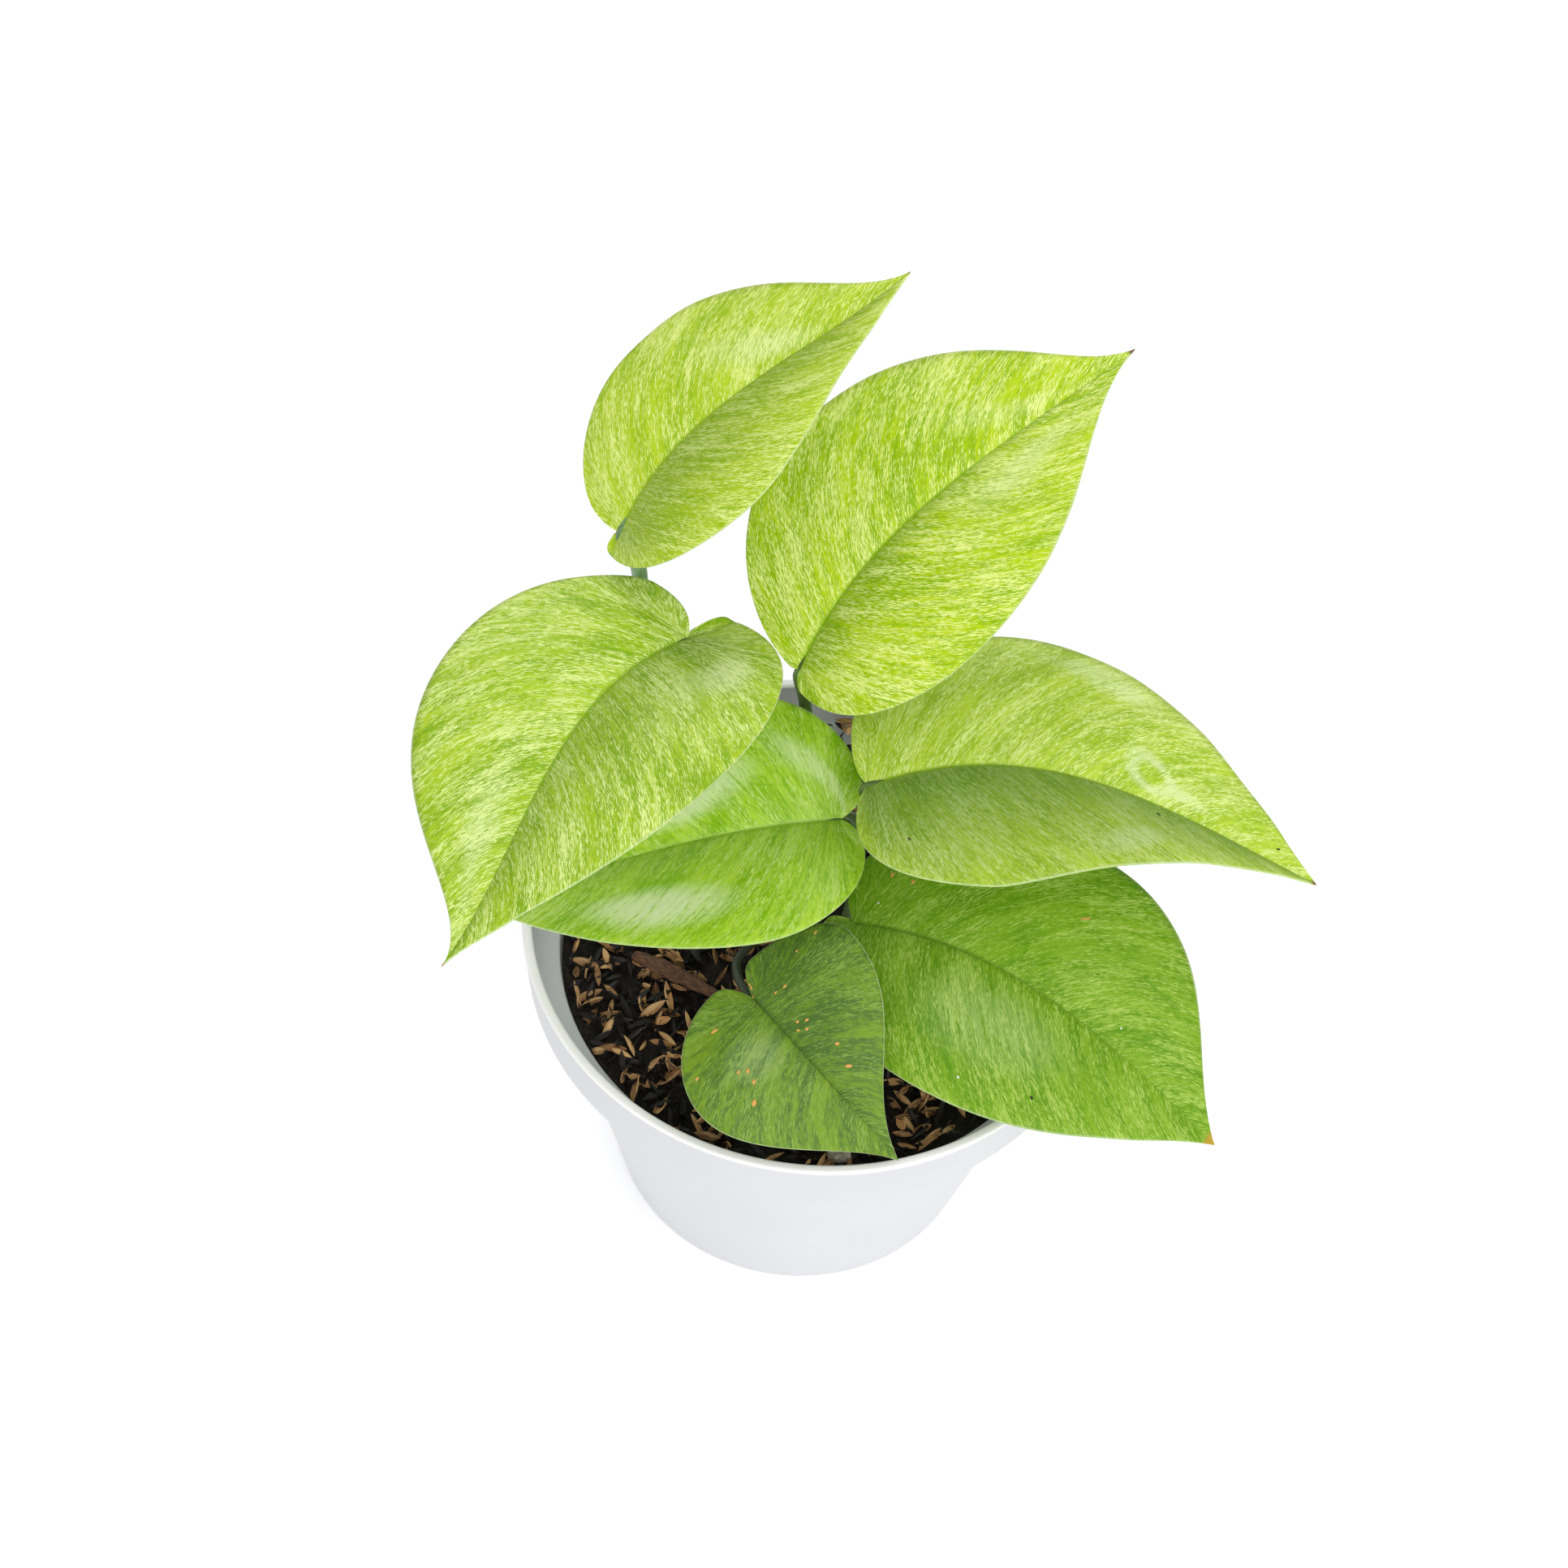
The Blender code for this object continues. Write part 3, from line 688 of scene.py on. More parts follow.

# %% [markdown]
# Each leaf has its own greens, because the young ones are pale yellow-green
# and the old ones dark. Where the film is dense its dashes run together, and
# where it is thin the deeper green shows. The half that folds away from the
# light gets painted shade by the midrib, the margin is a thin pale line and
# the tips dry first.

# %% Looks of the leaves
# Colours are 8-bit. flecks moves the dashes' threshold. The shade entry says
# which half gets painted shade, how far from the midrib and how much. The
# sheen patches are pale patches of painted sheen, where the film's dashes are
# also denser: place along the leaf, signed place across, long and wide reach,
# turn, then strength and hole. tip is where the leaf has dried and its colour
# there. The rib colour is the midrib's line, partly its own colour and partly
# painted shade in its groove.
LEAF_LOOKS = {
    1: dict(deep=(150, 188, 12), mid=(180, 208, 32), fleck=(226, 240, 138), flecks=0.0,
            painted_shade=(-1, 1.0, 0.6), painted_sheen_and_film_patches=[(0.6, 0.33, 0.16, 0.35, 0.3, 0.9, 0)],
            tip=(0.99, (150, 150, 60))),
    2: dict(deep=(142, 184, 0), mid=(186, 214, 12), fleck=(232, 245, 142), flecks=0.003,
            painted_shade=(-1, 0.3, 0.4), painted_sheen_and_film_patches=[
                (0.64, -0.5, 0.14, 0.35, 0.5, 0.9, 0), (0.7, 0.35, 0.14, 0.3, 0.5, 0.5, 0)],
            tip=(0.978, (120, 92, 60))),
    3: dict(deep=(130, 172, 16), mid=(170, 202, 38), fleck=(220, 238, 144), flecks=0.0,
            painted_shade=(1, 0.8, 0.5), painted_sheen_and_film_patches=[
                (0.7, -0.5, 0.14, 0.4, 0.5, 0.8, 0), (0.08, 0.45, 0.1, 0.3, 0.3, 1.1, 0)],
            tip=(0.985, (186, 156, 96))),
    4: dict(deep=(154, 190, 34), mid=(190, 218, 62), fleck=(224, 242, 146), flecks=-0.005,
            painted_shade=(-1, 1.7, 1.0), painted_sheen_and_film_patches=[
                (0.6, 0.3, 0.075, 0.24, 0.0, 1.6, 0.6), (0.69, 0.27, 0.06, 0.15, 0.0, 1.3, 0),
                (0.56, -0.76, 0.1, 0.2, -0.4, 1.2, 0), (0.48, 0.84, 0.2, 0.14, 0.5, 1.2, 0)],
            tip=(0.985, (126, 96, 50))),
    5: dict(deep=(128, 182, 0), mid=(178, 216, 54), fleck=(200, 228, 122), flecks=-0.028,
            painted_shade=(1, 0.5, 0.3), painted_sheen_and_film_patches=[
                (0.5, 0.66, 0.32, 0.2, 0.8, 2.8, 0), (0.36, -0.32, 0.18, 0.26, -0.8, 2.4, 0),
                (0.05, -0.4, 0.1, 0.3, 0.4, 1.3, 0)],
            tip=(0.985, (126, 140, 60)), rib=(176, 204, 100), gloss=0.3, rough=0.34),
    6: dict(deep=(98, 150, 10), mid=(134, 178, 36), fleck=(176, 206, 92), flecks=-0.018,
            painted_shade=(0, 1, 0), painted_sheen_and_film_patches=[(0.42, -0.4, 0.25, 0.4, 0.3, 0.6, 0)],
            tip=(0.97, (190, 160, 50)), rib=(96, 136, 30)),
    7: dict(deep=(80, 116, 44), mid=(122, 156, 38), fleck=(140, 172, 76), flecks=-0.026,
            painted_shade=(1, 1.2, 0.35), painted_sheen_and_film_patches=[(0.2, -0.3, 0.16, 0.3, 0.0, 0.5, 0)],
            tip=(0.99, (150, 176, 90)), rib=(60, 90, 30)),
}
print("looks of", len(LEAF_LOOKS), "leaves")

# %% [markdown]
# The film could be painted as a picture and wrapped round the leaf. Noise
# stands for it here, because it stays sharp at any distance. Slow noise sets
# the greens of the ground and how dense the film is, and the smeared noise
# breaks the film into dashes.

# %% The satin film
# sizes of vein noise are across and along the veins, in millimetres
CLOUD = (9.0, 26.0)
STREAK = (1.3, 12.0)
MOTTLE = (0.7, 1.6)
TONE_PARTS = ((0.35, CLOUD, 3.7), (0.35, STREAK, 8.1), (0.3, MOTTLE, 5.3))
TONE_RANGE = (0.4, 0.6)
COVER_PARTS = ((0.45, CLOUD), (0.55, STREAK))
COVER_WEIGHT = 0.5
FLECK_SIZE = 0.00021
FLECK_STEP = 0.00019
FLECK_SAMPLES = 6
FLECK_RANGE = (0.49, 0.565)
SHEEN_FLECKS = 0.035


def satin_colour(tree, look, film_and_painted_sheen):
    """The greens with their dashes, how dense the dashes are, and the streaks."""
    tones = [
        (weight, vein_noise(tree, *size, start=start)) for weight, size, start in TONE_PARTS
    ]
    tone = ramp(tree, weighted_sum(tree, *tones), *TONE_RANGE)
    ground = mix_colours(tree, tone, look["deep"], look["mid"])
    cover = weighted_sum(tree, *(
        (weight, vein_noise(tree, *size)) for weight, size in COVER_PARTS
    ))
    raised = weighted_sum(
        tree, (1.0, drawn_out(tree, FLECK_SIZE, FLECK_STEP, FLECK_SAMPLES)),
        (COVER_WEIGHT, math_node(tree, "SUBTRACT", cover, 0.5)), (SHEEN_FLECKS, film_and_painted_sheen),
    )
    dashes = ramp(tree, math_node(tree, "ADD", raised, look["flecks"]), *FLECK_RANGE)
    return mix_colours(tree, dashes, ground, look["fleck"]), dashes, tones[1][1]


print("dashes are", round(FLECK_SAMPLES * FLECK_STEP / MM, 2), "mm long")

# %% [markdown]
# Some colours go with the distance from the midrib: painted shade on the half
# that folds away from the light and in the crease beside the midrib, the
# midrib's line, partly its own colour and partly painted shade in its groove,
# and the pale margin. They could be separate meshes or painted by hand. Each
# point keeps its share across the blade, so a ramp over that share paints each
# of them exactly where it belongs.

# %% Painted shade, midrib and margin across a blade
# Painted sheen: its pale colour, its strength and the streaks that break it up. The same pale
# is the margin's own colour.
PAINTED_SHEEN_AND_MARGIN_PALE = (222, 238, 190)
PAINTED_SHEEN_STRENGTH = 0.3
PAINTED_SHEEN_STREAKS = (0.2, 0.6)
# Painted shade: the half that folds away is multiplied by this colour, and the crease beside
# the midrib mixes in the leaf's deepest green.
PAINTED_FOLD_SHADE = (168, 186, 168)
FOLD_START = 0.02
PAINTED_CREASE_SHADE_SHARE = (0.005, 0.06)
PAINTED_CREASE_SHADE_STRENGTH = 0.5
# The midrib's line: partly its own colour, partly painted shade in its groove.
RIB_AND_GROOVE_SHADE_SHARE = (0.004, 0.02)
RIB_AND_GROOVE_SHADE_STRENGTH = 0.6
MARGIN_SHARE = (0.985, 0.995)
MARGIN_STRENGTH = 0.4
TIP_FADE = 0.012


def painted_shade_rib_and_margin(tree, look, colour, signed):
    """Painted shade on the half that folds away and in the crease by the midrib,
    the midrib's line, partly painted shade in its groove, and the margin.
    """
    side = math_node(tree, "ABSOLUTE", signed)
    half, reach, strength = look["painted_shade"]
    turned = math_node(tree, "GREATER_THAN", product(tree, signed, half), 0.0)
    # Painted shade on the half that folds away from the light, and in the crease beside the
    # midrib on that half.
    fold = product(tree, fall(tree, side, FOLD_START, reach), turned, strength)
    painted_crease_shade = product(tree, fall(tree, side, *PAINTED_CREASE_SHADE_SHARE), turned, PAINTED_CREASE_SHADE_STRENGTH)
    # The midrib's line, partly painted shade in its groove.
    rib = product(tree, fall(tree, side, *RIB_AND_GROOVE_SHADE_SHARE), RIB_AND_GROOVE_SHADE_STRENGTH)
    edge = product(tree, ramp(tree, side, *MARGIN_SHARE), MARGIN_STRENGTH)
    colour = mix_colours(tree, fold, colour, PAINTED_FOLD_SHADE, "MULTIPLY")
    colour = mix_colours(tree, painted_crease_shade, colour, look["deep"])
    colour = mix_colours(tree, rib, colour, look.get("rib", look["deep"]))
    return mix_colours(tree, edge, colour, PAINTED_SHEEN_AND_MARGIN_PALE)


def dried_tip(tree, look, colour, along):
    start, dry = look["tip"]
    return mix_colours(tree, ramp(tree, along, start, start + TIP_FADE), colour, dry)


print("shades ready")

# %% [markdown]
# A satin blade is neither matt nor glossy: it is duller where dashes lie, and a
# weak bump follows the streaks. Its underside has no film. The leaves could
# share one material, but their greens differ with age, so each has its own,
# made from its row of the table.

# %% Paint the blades
SKIN_ROUGHNESS = 0.42
SKIN_GLOSS = 0.2
DASH_DULLNESS = 0.12
SKIN_BUMP = (0.35, 0.0001)
UNDERSIDE = ((128, 160, 92), (158, 186, 116))


def leaf_material(number):
    """The satin upper face of one leaf, with its painted sheen and painted shade."""
    look = LEAF_LOOKS[number]
    made, tree = new_material(f"leaf_{number}_satin")
    parts = split(tree, attribute(tree, "shares"))
    # The patches set where painted sheen lies and where the dashes are denser.
    film_and_painted_sheen = weighted_sum(tree, *(
        (strength, patch(tree, spot, hole)) for *spot, strength, hole in look["painted_sheen_and_film_patches"]
    ))
    colour, dashes, streak = satin_colour(tree, look, film_and_painted_sheen)
    # Painted sheen: the patches are lightened to a pale highlight, broken up by the streaks.
    painted_sheen = product(tree, film_and_painted_sheen, ramp(tree, streak, *PAINTED_SHEEN_STREAKS), PAINTED_SHEEN_STRENGTH)
    colour = mix_colours(tree, painted_sheen, colour, PAINTED_SHEEN_AND_MARGIN_PALE)
    colour = painted_shade_rib_and_margin(tree, look, colour, parts[1])
    dull = look.get("rough", SKIN_ROUGHNESS)
    return finished(made, {
        "Base Color": dried_tip(tree, look, colour, parts[0]),
        "Roughness": math_node(tree, "MULTIPLY_ADD", dashes, DASH_DULLNESS, dull),
        "Specular IOR Level": look.get("gloss", SKIN_GLOSS),
    }, bump=(weighted_sum(tree, (2.0, streak), (0.6, dashes)), *SKIN_BUMP))


def underside_material():
    """Paler and duller than the upper face, with the same streaks."""
    made, tree = new_material("leaf_underside")
    streak = ramp(tree, vein_noise(tree, *STREAK), 0.3, 0.7)
    return finished(made, {
        "Base Color": mix_colours(tree, streak, *UNDERSIDE),
        "Roughness": 0.6, "Specular IOR Level": 0.3,
    }, bump=(streak, 0.3, 0.0002))


def dress(obj, node):
    """Puts a finished piece in place of a solid of the part."""
    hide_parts(node)
    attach(obj, "root")


underside = underside_material()
for number, blade in blades.items():
    blade.data.materials.append(leaf_material(number))
    blade.data.materials.append(underside)
    baked(blade)
    dress(blade, f"leaf_{number}")
print("blade faces:", sum(len(blade.data.polygons) for blade in blades.values()))

# %% [markdown]
# The old leaves carry small dry scars, a few grains of dust and dark specks.
# They could be dots in the leaf's material. As flat lenses that lie on the
# blade along its veins they keep a crisp edge and catch the light.

# %% Scars and specks
# kind, place along the leaf, signed place across, length, width
MARKS = {
    4: [("speck", 0.61, -0.315, 1.3, 0.7), ("speck", 0.904, 0.667, 1.1, 0.6),
        ("speck", 0.082, -0.55, 1.3, 0.6)],
    6: [("scar", 0.018, 0.422, 1.4, 0.9), ("scar", 0.068, 0.303, 1.2, 1.0),
        ("scar", 0.464, 0.56, 2.8, 0.6), ("dust", 0.027, 0.149, 0.6, 0.5),
        ("dust", 0.429, -0.801, 0.7, 0.6), ("dust", 0.671, 0.246, 0.6, 0.5),
        ("speck", 0.592, -0.835, 1.1, 0.7)],
    7: [("scar", *spot) for spot in (
        (-0.043, 0.857, 1.2, 0.6), (-0.062, 0.759, 1.0, 0.6), (-0.037, 0.612, 0.9, 0.6),
        (-0.044, 0.534, 1.1, 0.7), (0.05, 0.207, 1.2, 0.8), (0.043, 0.143, 1.0, 0.6),
        (-0.01, 0.265, 0.8, 0.5), (0.209, 0.158, 0.9, 0.7), (0.23, 0.209, 1.0, 0.7),
        (0.235, 0.123, 0.8, 0.6), (0.261, 0.193, 1.0, 0.7), (-0.012, -0.502, 2.1, 1.1),
        (0.091, -0.788, 1.2, 0.8), (0.195, -0.474, 1.0, 0.8), (0.221, -0.422, 1.2, 0.9),
        (0.272, -0.453, 1.3, 0.9), (0.344, -0.617, 1.8, 1.1), (0.405, 0.385, 1.2, 0.8),
        (0.511, 0.453, 1.8, 1.0))],
}
MARK_KINDS = {"scar": (206, 152, 76), "dust": (238, 240, 236), "speck": (34, 36, 26)}
MARK_HEIGHT = 0.2
MARK_GRAIN = 3000
MARK_LIGHT = 1.15


def mark_material(kind, colour):
    """Dry tissue or dirt, mottled and dull."""
    made, tree = new_material(f"leaf_{kind}")
    light = [min(255, MARK_LIGHT * value) for value in colour]
    grain = grains(tree, object_place(tree), MARK_GRAIN, 2.0)
    return finished(made, {
        "Base Color": mix_colours(tree, grain, colour, light), "Roughness": 0.75,
    })


def make_marks(number, materials):
    """All marks of one leaf as one piece, each a closed lens on the blade."""
    grid, points = blade_points(number)
    courses = vein_courses(points)
    up = blade_up(number)
    bm = bmesh.new()
    for kind, along, share, long, wide in MARKS[number]:
        away = np.abs(grid[:, :, 4] - along) + 0.5 * np.abs(grid[:, :, 5] - share)
        row, column = np.unravel_index(away.argmin(), away.shape)
        ahead = Vector(courses[row, column])
        across = up.cross(ahead).normalized()
        normal = ahead.cross(across).normalized()
        centre = Vector(points[row, column]) + normal * BLADE_THICKNESS / 2
        turn = Matrix((ahead, across, normal)).transposed().to_4x4()
        size = Matrix.Diagonal((long, wide, MARK_HEIGHT, 1))
        lens = bmesh.ops.create_uvsphere(
            bm, u_segments=12, v_segments=6, radius=0.5,
            matrix=Matrix.Translation(centre) @ turn @ size,
        )
        for face in {face for vertex in lens["verts"] for face in vertex.link_faces}:
            face.material_index = list(MARK_KINDS).index(kind)
    marks = link_mesh(f"marks_{number}", bm)
    for material in materials:
        marks.data.materials.append(material)
    return marks


mark_skins = [mark_material(kind, colour) for kind, colour in MARK_KINDS.items()]
for number in MARKS:
    dress(make_marks(number, mark_skins), f"leaf_{number}")
print("marks:", {number: len(spots) for number, spots in MARKS.items()})

# %% [markdown]
# ## Stalks
# Each leaf stands on a stalk with a shallow channel along its upper side. The
# lower end is a sheath that hugs the vine, and the top end swells into a
# joint that turns the blade to the light. From there the stalk runs on under
# the blade as the raised midrib. Stalks, vine and roots are all swept along
# smooth lines through a few points.

# %% Lines and sweeps
VINE_STEPS = 4
SWEEP_MERGE = 0.004


def course_at(line, index):
    """Which way a line runs at one of its points."""
    return (line[min(index + 1, len(line) - 1)] - line[max(index - 1, 0)]).normalized()


def smooth(points, steps):
    """The points joined by one smooth curve, with steps pieces between each pair."""
    line = [Vector(point) for point in points]
    made = [line[0]]
    for index, (start, end) in enumerate(zip(line, line[1:])):
        third = (end - start).length / 3
        leave = start + course_at(line, index) * third
        arrive = end - course_at(line, index + 1) * third
        made += interpolate_bezier(start, leave, arrive, end, steps + 1)[1:]
    return made


def between(values, steps):
    """The values with steps even pieces between each pair."""
    made = [values[0]]
    for start, end in zip(values, values[1:]):
        made += [start + (end - start) * step / steps for step in range(1, steps + 1)]
    return made


def sweep(name, line, radii, sides, section=None, up=(0, 0, 1)):
    """A closed body swept along a line. section scales the radius by angle."""
    bm = bmesh.new()
    last = len(line) - 1
    bmesh.ops.create_grid(bm, x_segments=last, y_segments=sides, size=0.5)
    across = Vector(up)
    frames = []
    for index, point in enumerate(line):
        ahead = course_at(line, index)
        across = (across - ahead * across.dot(ahead)).normalized()
        frames.append((point, across, ahead.cross(across)))
    for vertex in bm.verts:
        column = round((vertex.co.x + 0.5) * last)
        turn = math.tau * (vertex.co.y + 0.5)
        point, first, second = frames[column]
        reach = radii[column] * (section(turn, column / last) if section else 1)
        vertex.co = point + (first * math.cos(turn) + second * math.sin(turn)) * reach
    bmesh.ops.remove_doubles(bm, verts=bm.verts, dist=SWEEP_MERGE)
    bmesh.ops.holes_fill(bm, edges=bm.edges, sides=0)
    return link_mesh(name, bm)


def vine_points():
    return [above_rim(point) for point, _ in VINE_LINE]


def vine_at(height):
    """Centre, direction and radius of the vine at a height above the rim."""
    line = smooth(vine_points(), VINE_STEPS)
    radii = between([radius for _, radius in VINE_LINE], VINE_STEPS)
    level = POT_HEIGHT + height
    for index, (low, high) in enumerate(zip(line, line[1:])):
        if low.z <= level <= high.z:
            share = (level - low.z) / (high.z - low.z)
            radius = radii[index] + (radii[index + 1] - radii[index]) * share
            return low.lerp(high, share), (high - low).normalized(), radius


print("vine at the rim:", vine_at(0.0)[0].to_tuple(1))

# %% [markdown]
# A stalk starts at its own node of the vine, runs up its sheath and then
# through a few chosen points to the base of its blade. A curve with a round
# bevel would be quicker, but a swept section also gives the channel.

# %% Build the stalks
GAP = 0.3
STALK_STEPS = 8
STALK_SIDES = 14
SHEATH_LENGTH = 6.0
SHEATH_SWELL = 1.15
SHEATH_SHARE = 0.25
CHANNEL_DEPTH = 0.2
SHEATH_CHANNEL = 0.32
CHANNEL_WIDTH = 0.55
STALK_SLIM = 0.94
RIB_SINK = 0.2


def channel(turn, share):
    """A stalk's section: dished on its upper side, more so in the sheath."""
    depth = SHEATH_CHANNEL if share < SHEATH_SHARE else CHANNEL_DEPTH
    return 1 - depth * math.exp(-((math.remainder(turn, math.tau) / CHANNEL_WIDTH) ** 2))


def blade_place(entry, along, drop):
    """A point under the midrib, along millimetres from the blade's base."""
    x, y, z = blade_form(entry, np.array(float(along)), np.array(0.0))
    return blade_matrix(entry) @ Vector((float(x), float(y), float(z) - drop))


def rib_line(length, radius):
    """Way along the blade, drop under it and radius of the raised midrib."""
    return [
        (-0.5, 1.1, 0.85 * radius), (5.0, 0.85, 0.9), (12.0, 0.6, 0.75),
        (0.3 * length, 0.35, 0.6), (0.6 * length, 0.3, 0.42), (0.85 * length, 0.2, 0.2),
    ]


def make_petiole(number):
    entry = LEAVES[number]
    height, side, radius, way = entry["petiole"]
    centre, along, vine_radius = vine_at(height)
    angle = math.radians(side)
    away = Vector((math.cos(angle), math.sin(angle), 0))
    away = (away - along * away.dot(along)).normalized()
    sheath = radius * SHEATH_SWELL
    start = centre + away * (vine_radius + 1.5 * GAP + sheath)
    clasp = start + along * SHEATH_LENGTH + away * GAP
    ribs = rib_line(entry["length"], radius)
    under = BLADE_THICKNESS / 2 + RIB_SINK
    points = [start - along * 0.5, start, clasp]
    points += [above_rim(point) for point in way]
    points += [blade_place(entry, reach, under + drop) for reach, drop, _ in ribs]
    radii = [0.4 * sheath, sheath, sheath] + [STALK_SLIM * radius] * (len(way) - 1) + [radius]
    radii += [thick for _, _, thick in ribs]
    petiole = sweep(
        f"petiole_{number}", smooth(points, STALK_STEPS), between(radii, STALK_STEPS),
        STALK_SIDES, channel, -away,
    )
    dress(petiole, f"leaf_{number}")
    return petiole


petioles = {number: make_petiole(number) for number in LEAVES}
print("stalks:", [obj.name for obj in petioles.values()])

# %% [markdown]
# ## Vine
# The vine is a short green stem, thicker at each node, with stubs of aerial
# roots. Its tip is the next leaf, still rolled up. It could be modelled round
# by round, but the sweep of the stalks makes it from the same short list of
# points, and each node's swelling is one term added to its radius.

# %% Build the vine
# height above the rim, side in degrees
ROOT_STUBS = [(-11, 60), (-3, 110), (5, 170), (13, 215), (22, 270), (31, 290), (39, 40)]
ROOT_STUB_LENGTH = 5.0
ROOT_STUB_RADIUS = 0.8
ROOT_STEPS = 5
ROOT_SIDES = 8
NODE_SWELL = 0.35
NODE_REACH = 1.6
NODE_DROP = 1.0
VINE_RINGS = 14
VINE_SIDES = 18


def make_vine():
    line = smooth(vine_points(), VINE_RINGS)
    radii = between([radius for _, radius in VINE_LINE], VINE_RINGS)
    nodes = [POT_HEIGHT + entry["petiole"][0] - NODE_DROP for entry in LEAVES.values()]
    radii = [
        radius + sum(
            NODE_SWELL * math.exp(-(((point.z - node) / NODE_REACH) ** 2)) for node in nodes
        ) * min(1, radius / 2)
        for radius, point in zip(radii, line)
    ]
    return sweep("vine", line, radii, VINE_SIDES)


def joined(name, objects):
    """The objects' meshes in one object."""
    bm = bmesh.new()
    for obj in objects:
        bm.from_mesh(obj.data)
        bpy.data.objects.remove(obj)
    made = place_object(name, mesh_from(name, bm))
    made.data.shade_smooth()
    return made


def make_root_stubs():
    """Aerial roots, as one piece beside the stem they grow from."""
    made = []
    for height, side in ROOT_STUBS:
        centre, _, radius = vine_at(height)
        angle = math.radians(side)
        away = Vector((math.cos(angle), math.sin(angle), -0.5)).normalized()
        end = centre + away * (radius + ROOT_STUB_LENGTH)
        bend = centre.lerp(end, 0.6) + Vector((0, 0, 0.5))
        line = smooth([centre.lerp(end, 0.1), bend, end], ROOT_STEPS)
        radii = between([share * ROOT_STUB_RADIUS for share in (1.3, 1.0, 0.3)], ROOT_STEPS)
        made.append(sweep("root", line, radii, ROOT_SIDES))
    return joined("aerial_roots", made)


vine = make_vine()
roots = make_root_stubs()
for obj in (vine, roots):
    dress(obj, "vine")
print("vine and", len(ROOT_STUBS), "aerial roots")

# %% [markdown]
# Skin of stem and stalk is green with faint lengthwise streaks. Young stalks
# are greyer and paler. The oldest lies low in the shade and is nearly black:
# its colour is partly its own dark green and partly painted shade. Noise that
# is squeezed across and drawn out upward gives such streaks without a picture.

# %% Paint the stalks and the vine
STALK_ROUGHNESS = 0.45
STALK_STREAKS = (900.0, 900.0, 120.0)
STALK_COLOURS = {
    1: ((92, 128, 78), (128, 158, 116)),
    2: ((70, 98, 34), (96, 124, 54)),
    # Stalk 7 is nearly black: partly its own dark green, partly painted shade.
    7: ((34, 50, 14), (52, 72, 24)),
}
SKINS = {
    "vine_skin": (vine, (96, 122, 58), (128, 140, 74), STALK_ROUGHNESS),
    "root_skin": (roots, (104, 84, 56), (140, 116, 80), 0.7),
}
for number, petiole in petioles.items():
    colours = STALK_COLOURS.get(number, STALK_COLOURS[2])
    SKINS[f"stalk_{number}_skin"] = (petiole, *colours, STALK_ROUGHNESS)


def stalk_material(name, colour, shade, roughness):
    """Skin with faint lengthwise streaks and a fine bump."""
    made, tree = new_material(name)
    place = vector_node(tree, "MULTIPLY", object_place(tree), STALK_STREAKS)
    grain = grains(tree, place, 1.0, 3.0, 0.5)
    return finished(made, {
        "Base Color": mix_colours(tree, ramp(tree, grain, 0.35, 0.7), colour, shade),
        "Roughness": roughness,
    }, bump=(grain, 0.3, 0.0001))


for name, (obj, colour, shade, roughness) in SKINS.items():
    obj.data.materials.append(stalk_material(name, colour, shade, roughness))
print("skins:", list(SKINS))

# %% [markdown]
# ## Pot
# A nursery pot is blown or moulded as one turned shell: a thin rolled lip, a
# deep collar that stands on a ledge, a tapered wall and a flat base with drain
# holes. So it is drawn as one closed profile, in straight runs and arcs, as a
# maker would draw its mould.

# %% Profile of the pot
LIP_RADIUS = 75.0
LIP_DEPTH = 2.0
COLLAR_RADIUS = 73.8
COLLAR_BOTTOM = 85.0
COLLAR_DRAFT = 0.3
WALL_TOP_RADIUS = 66.5
BASE_RADIUS = 48.0
WALL = 1.4
FLOOR = 1.8
SHELF_THICKNESS = 1.1
DRAIN_CIRCLE = 36.0
INNER_FOOT_ROUND = 1.6
BASE_ROUND = 1.5
SHELF_ROUND = 0.8
COLLAR_ROUND = 0.7
LIP_ROUND = 0.9
LIP_UNDER_ROUND = 0.6


def wall_radius(height):
    """Outer radius of the tapered wall below the collar."""
    share = height / COLLAR_BOTTOM
    return BASE_RADIUS + (WALL_TOP_RADIUS - BASE_RADIUS) * share


def arc(x, z, radius, start, end, steps):
    """Profile points on an arc, angles in degrees."""
    turns = [math.radians(start + (end - start) * step / steps) for step in range(steps + 1)]
    return [(x + radius * math.cos(turn), z + radius * math.sin(turn)) for turn in turns]


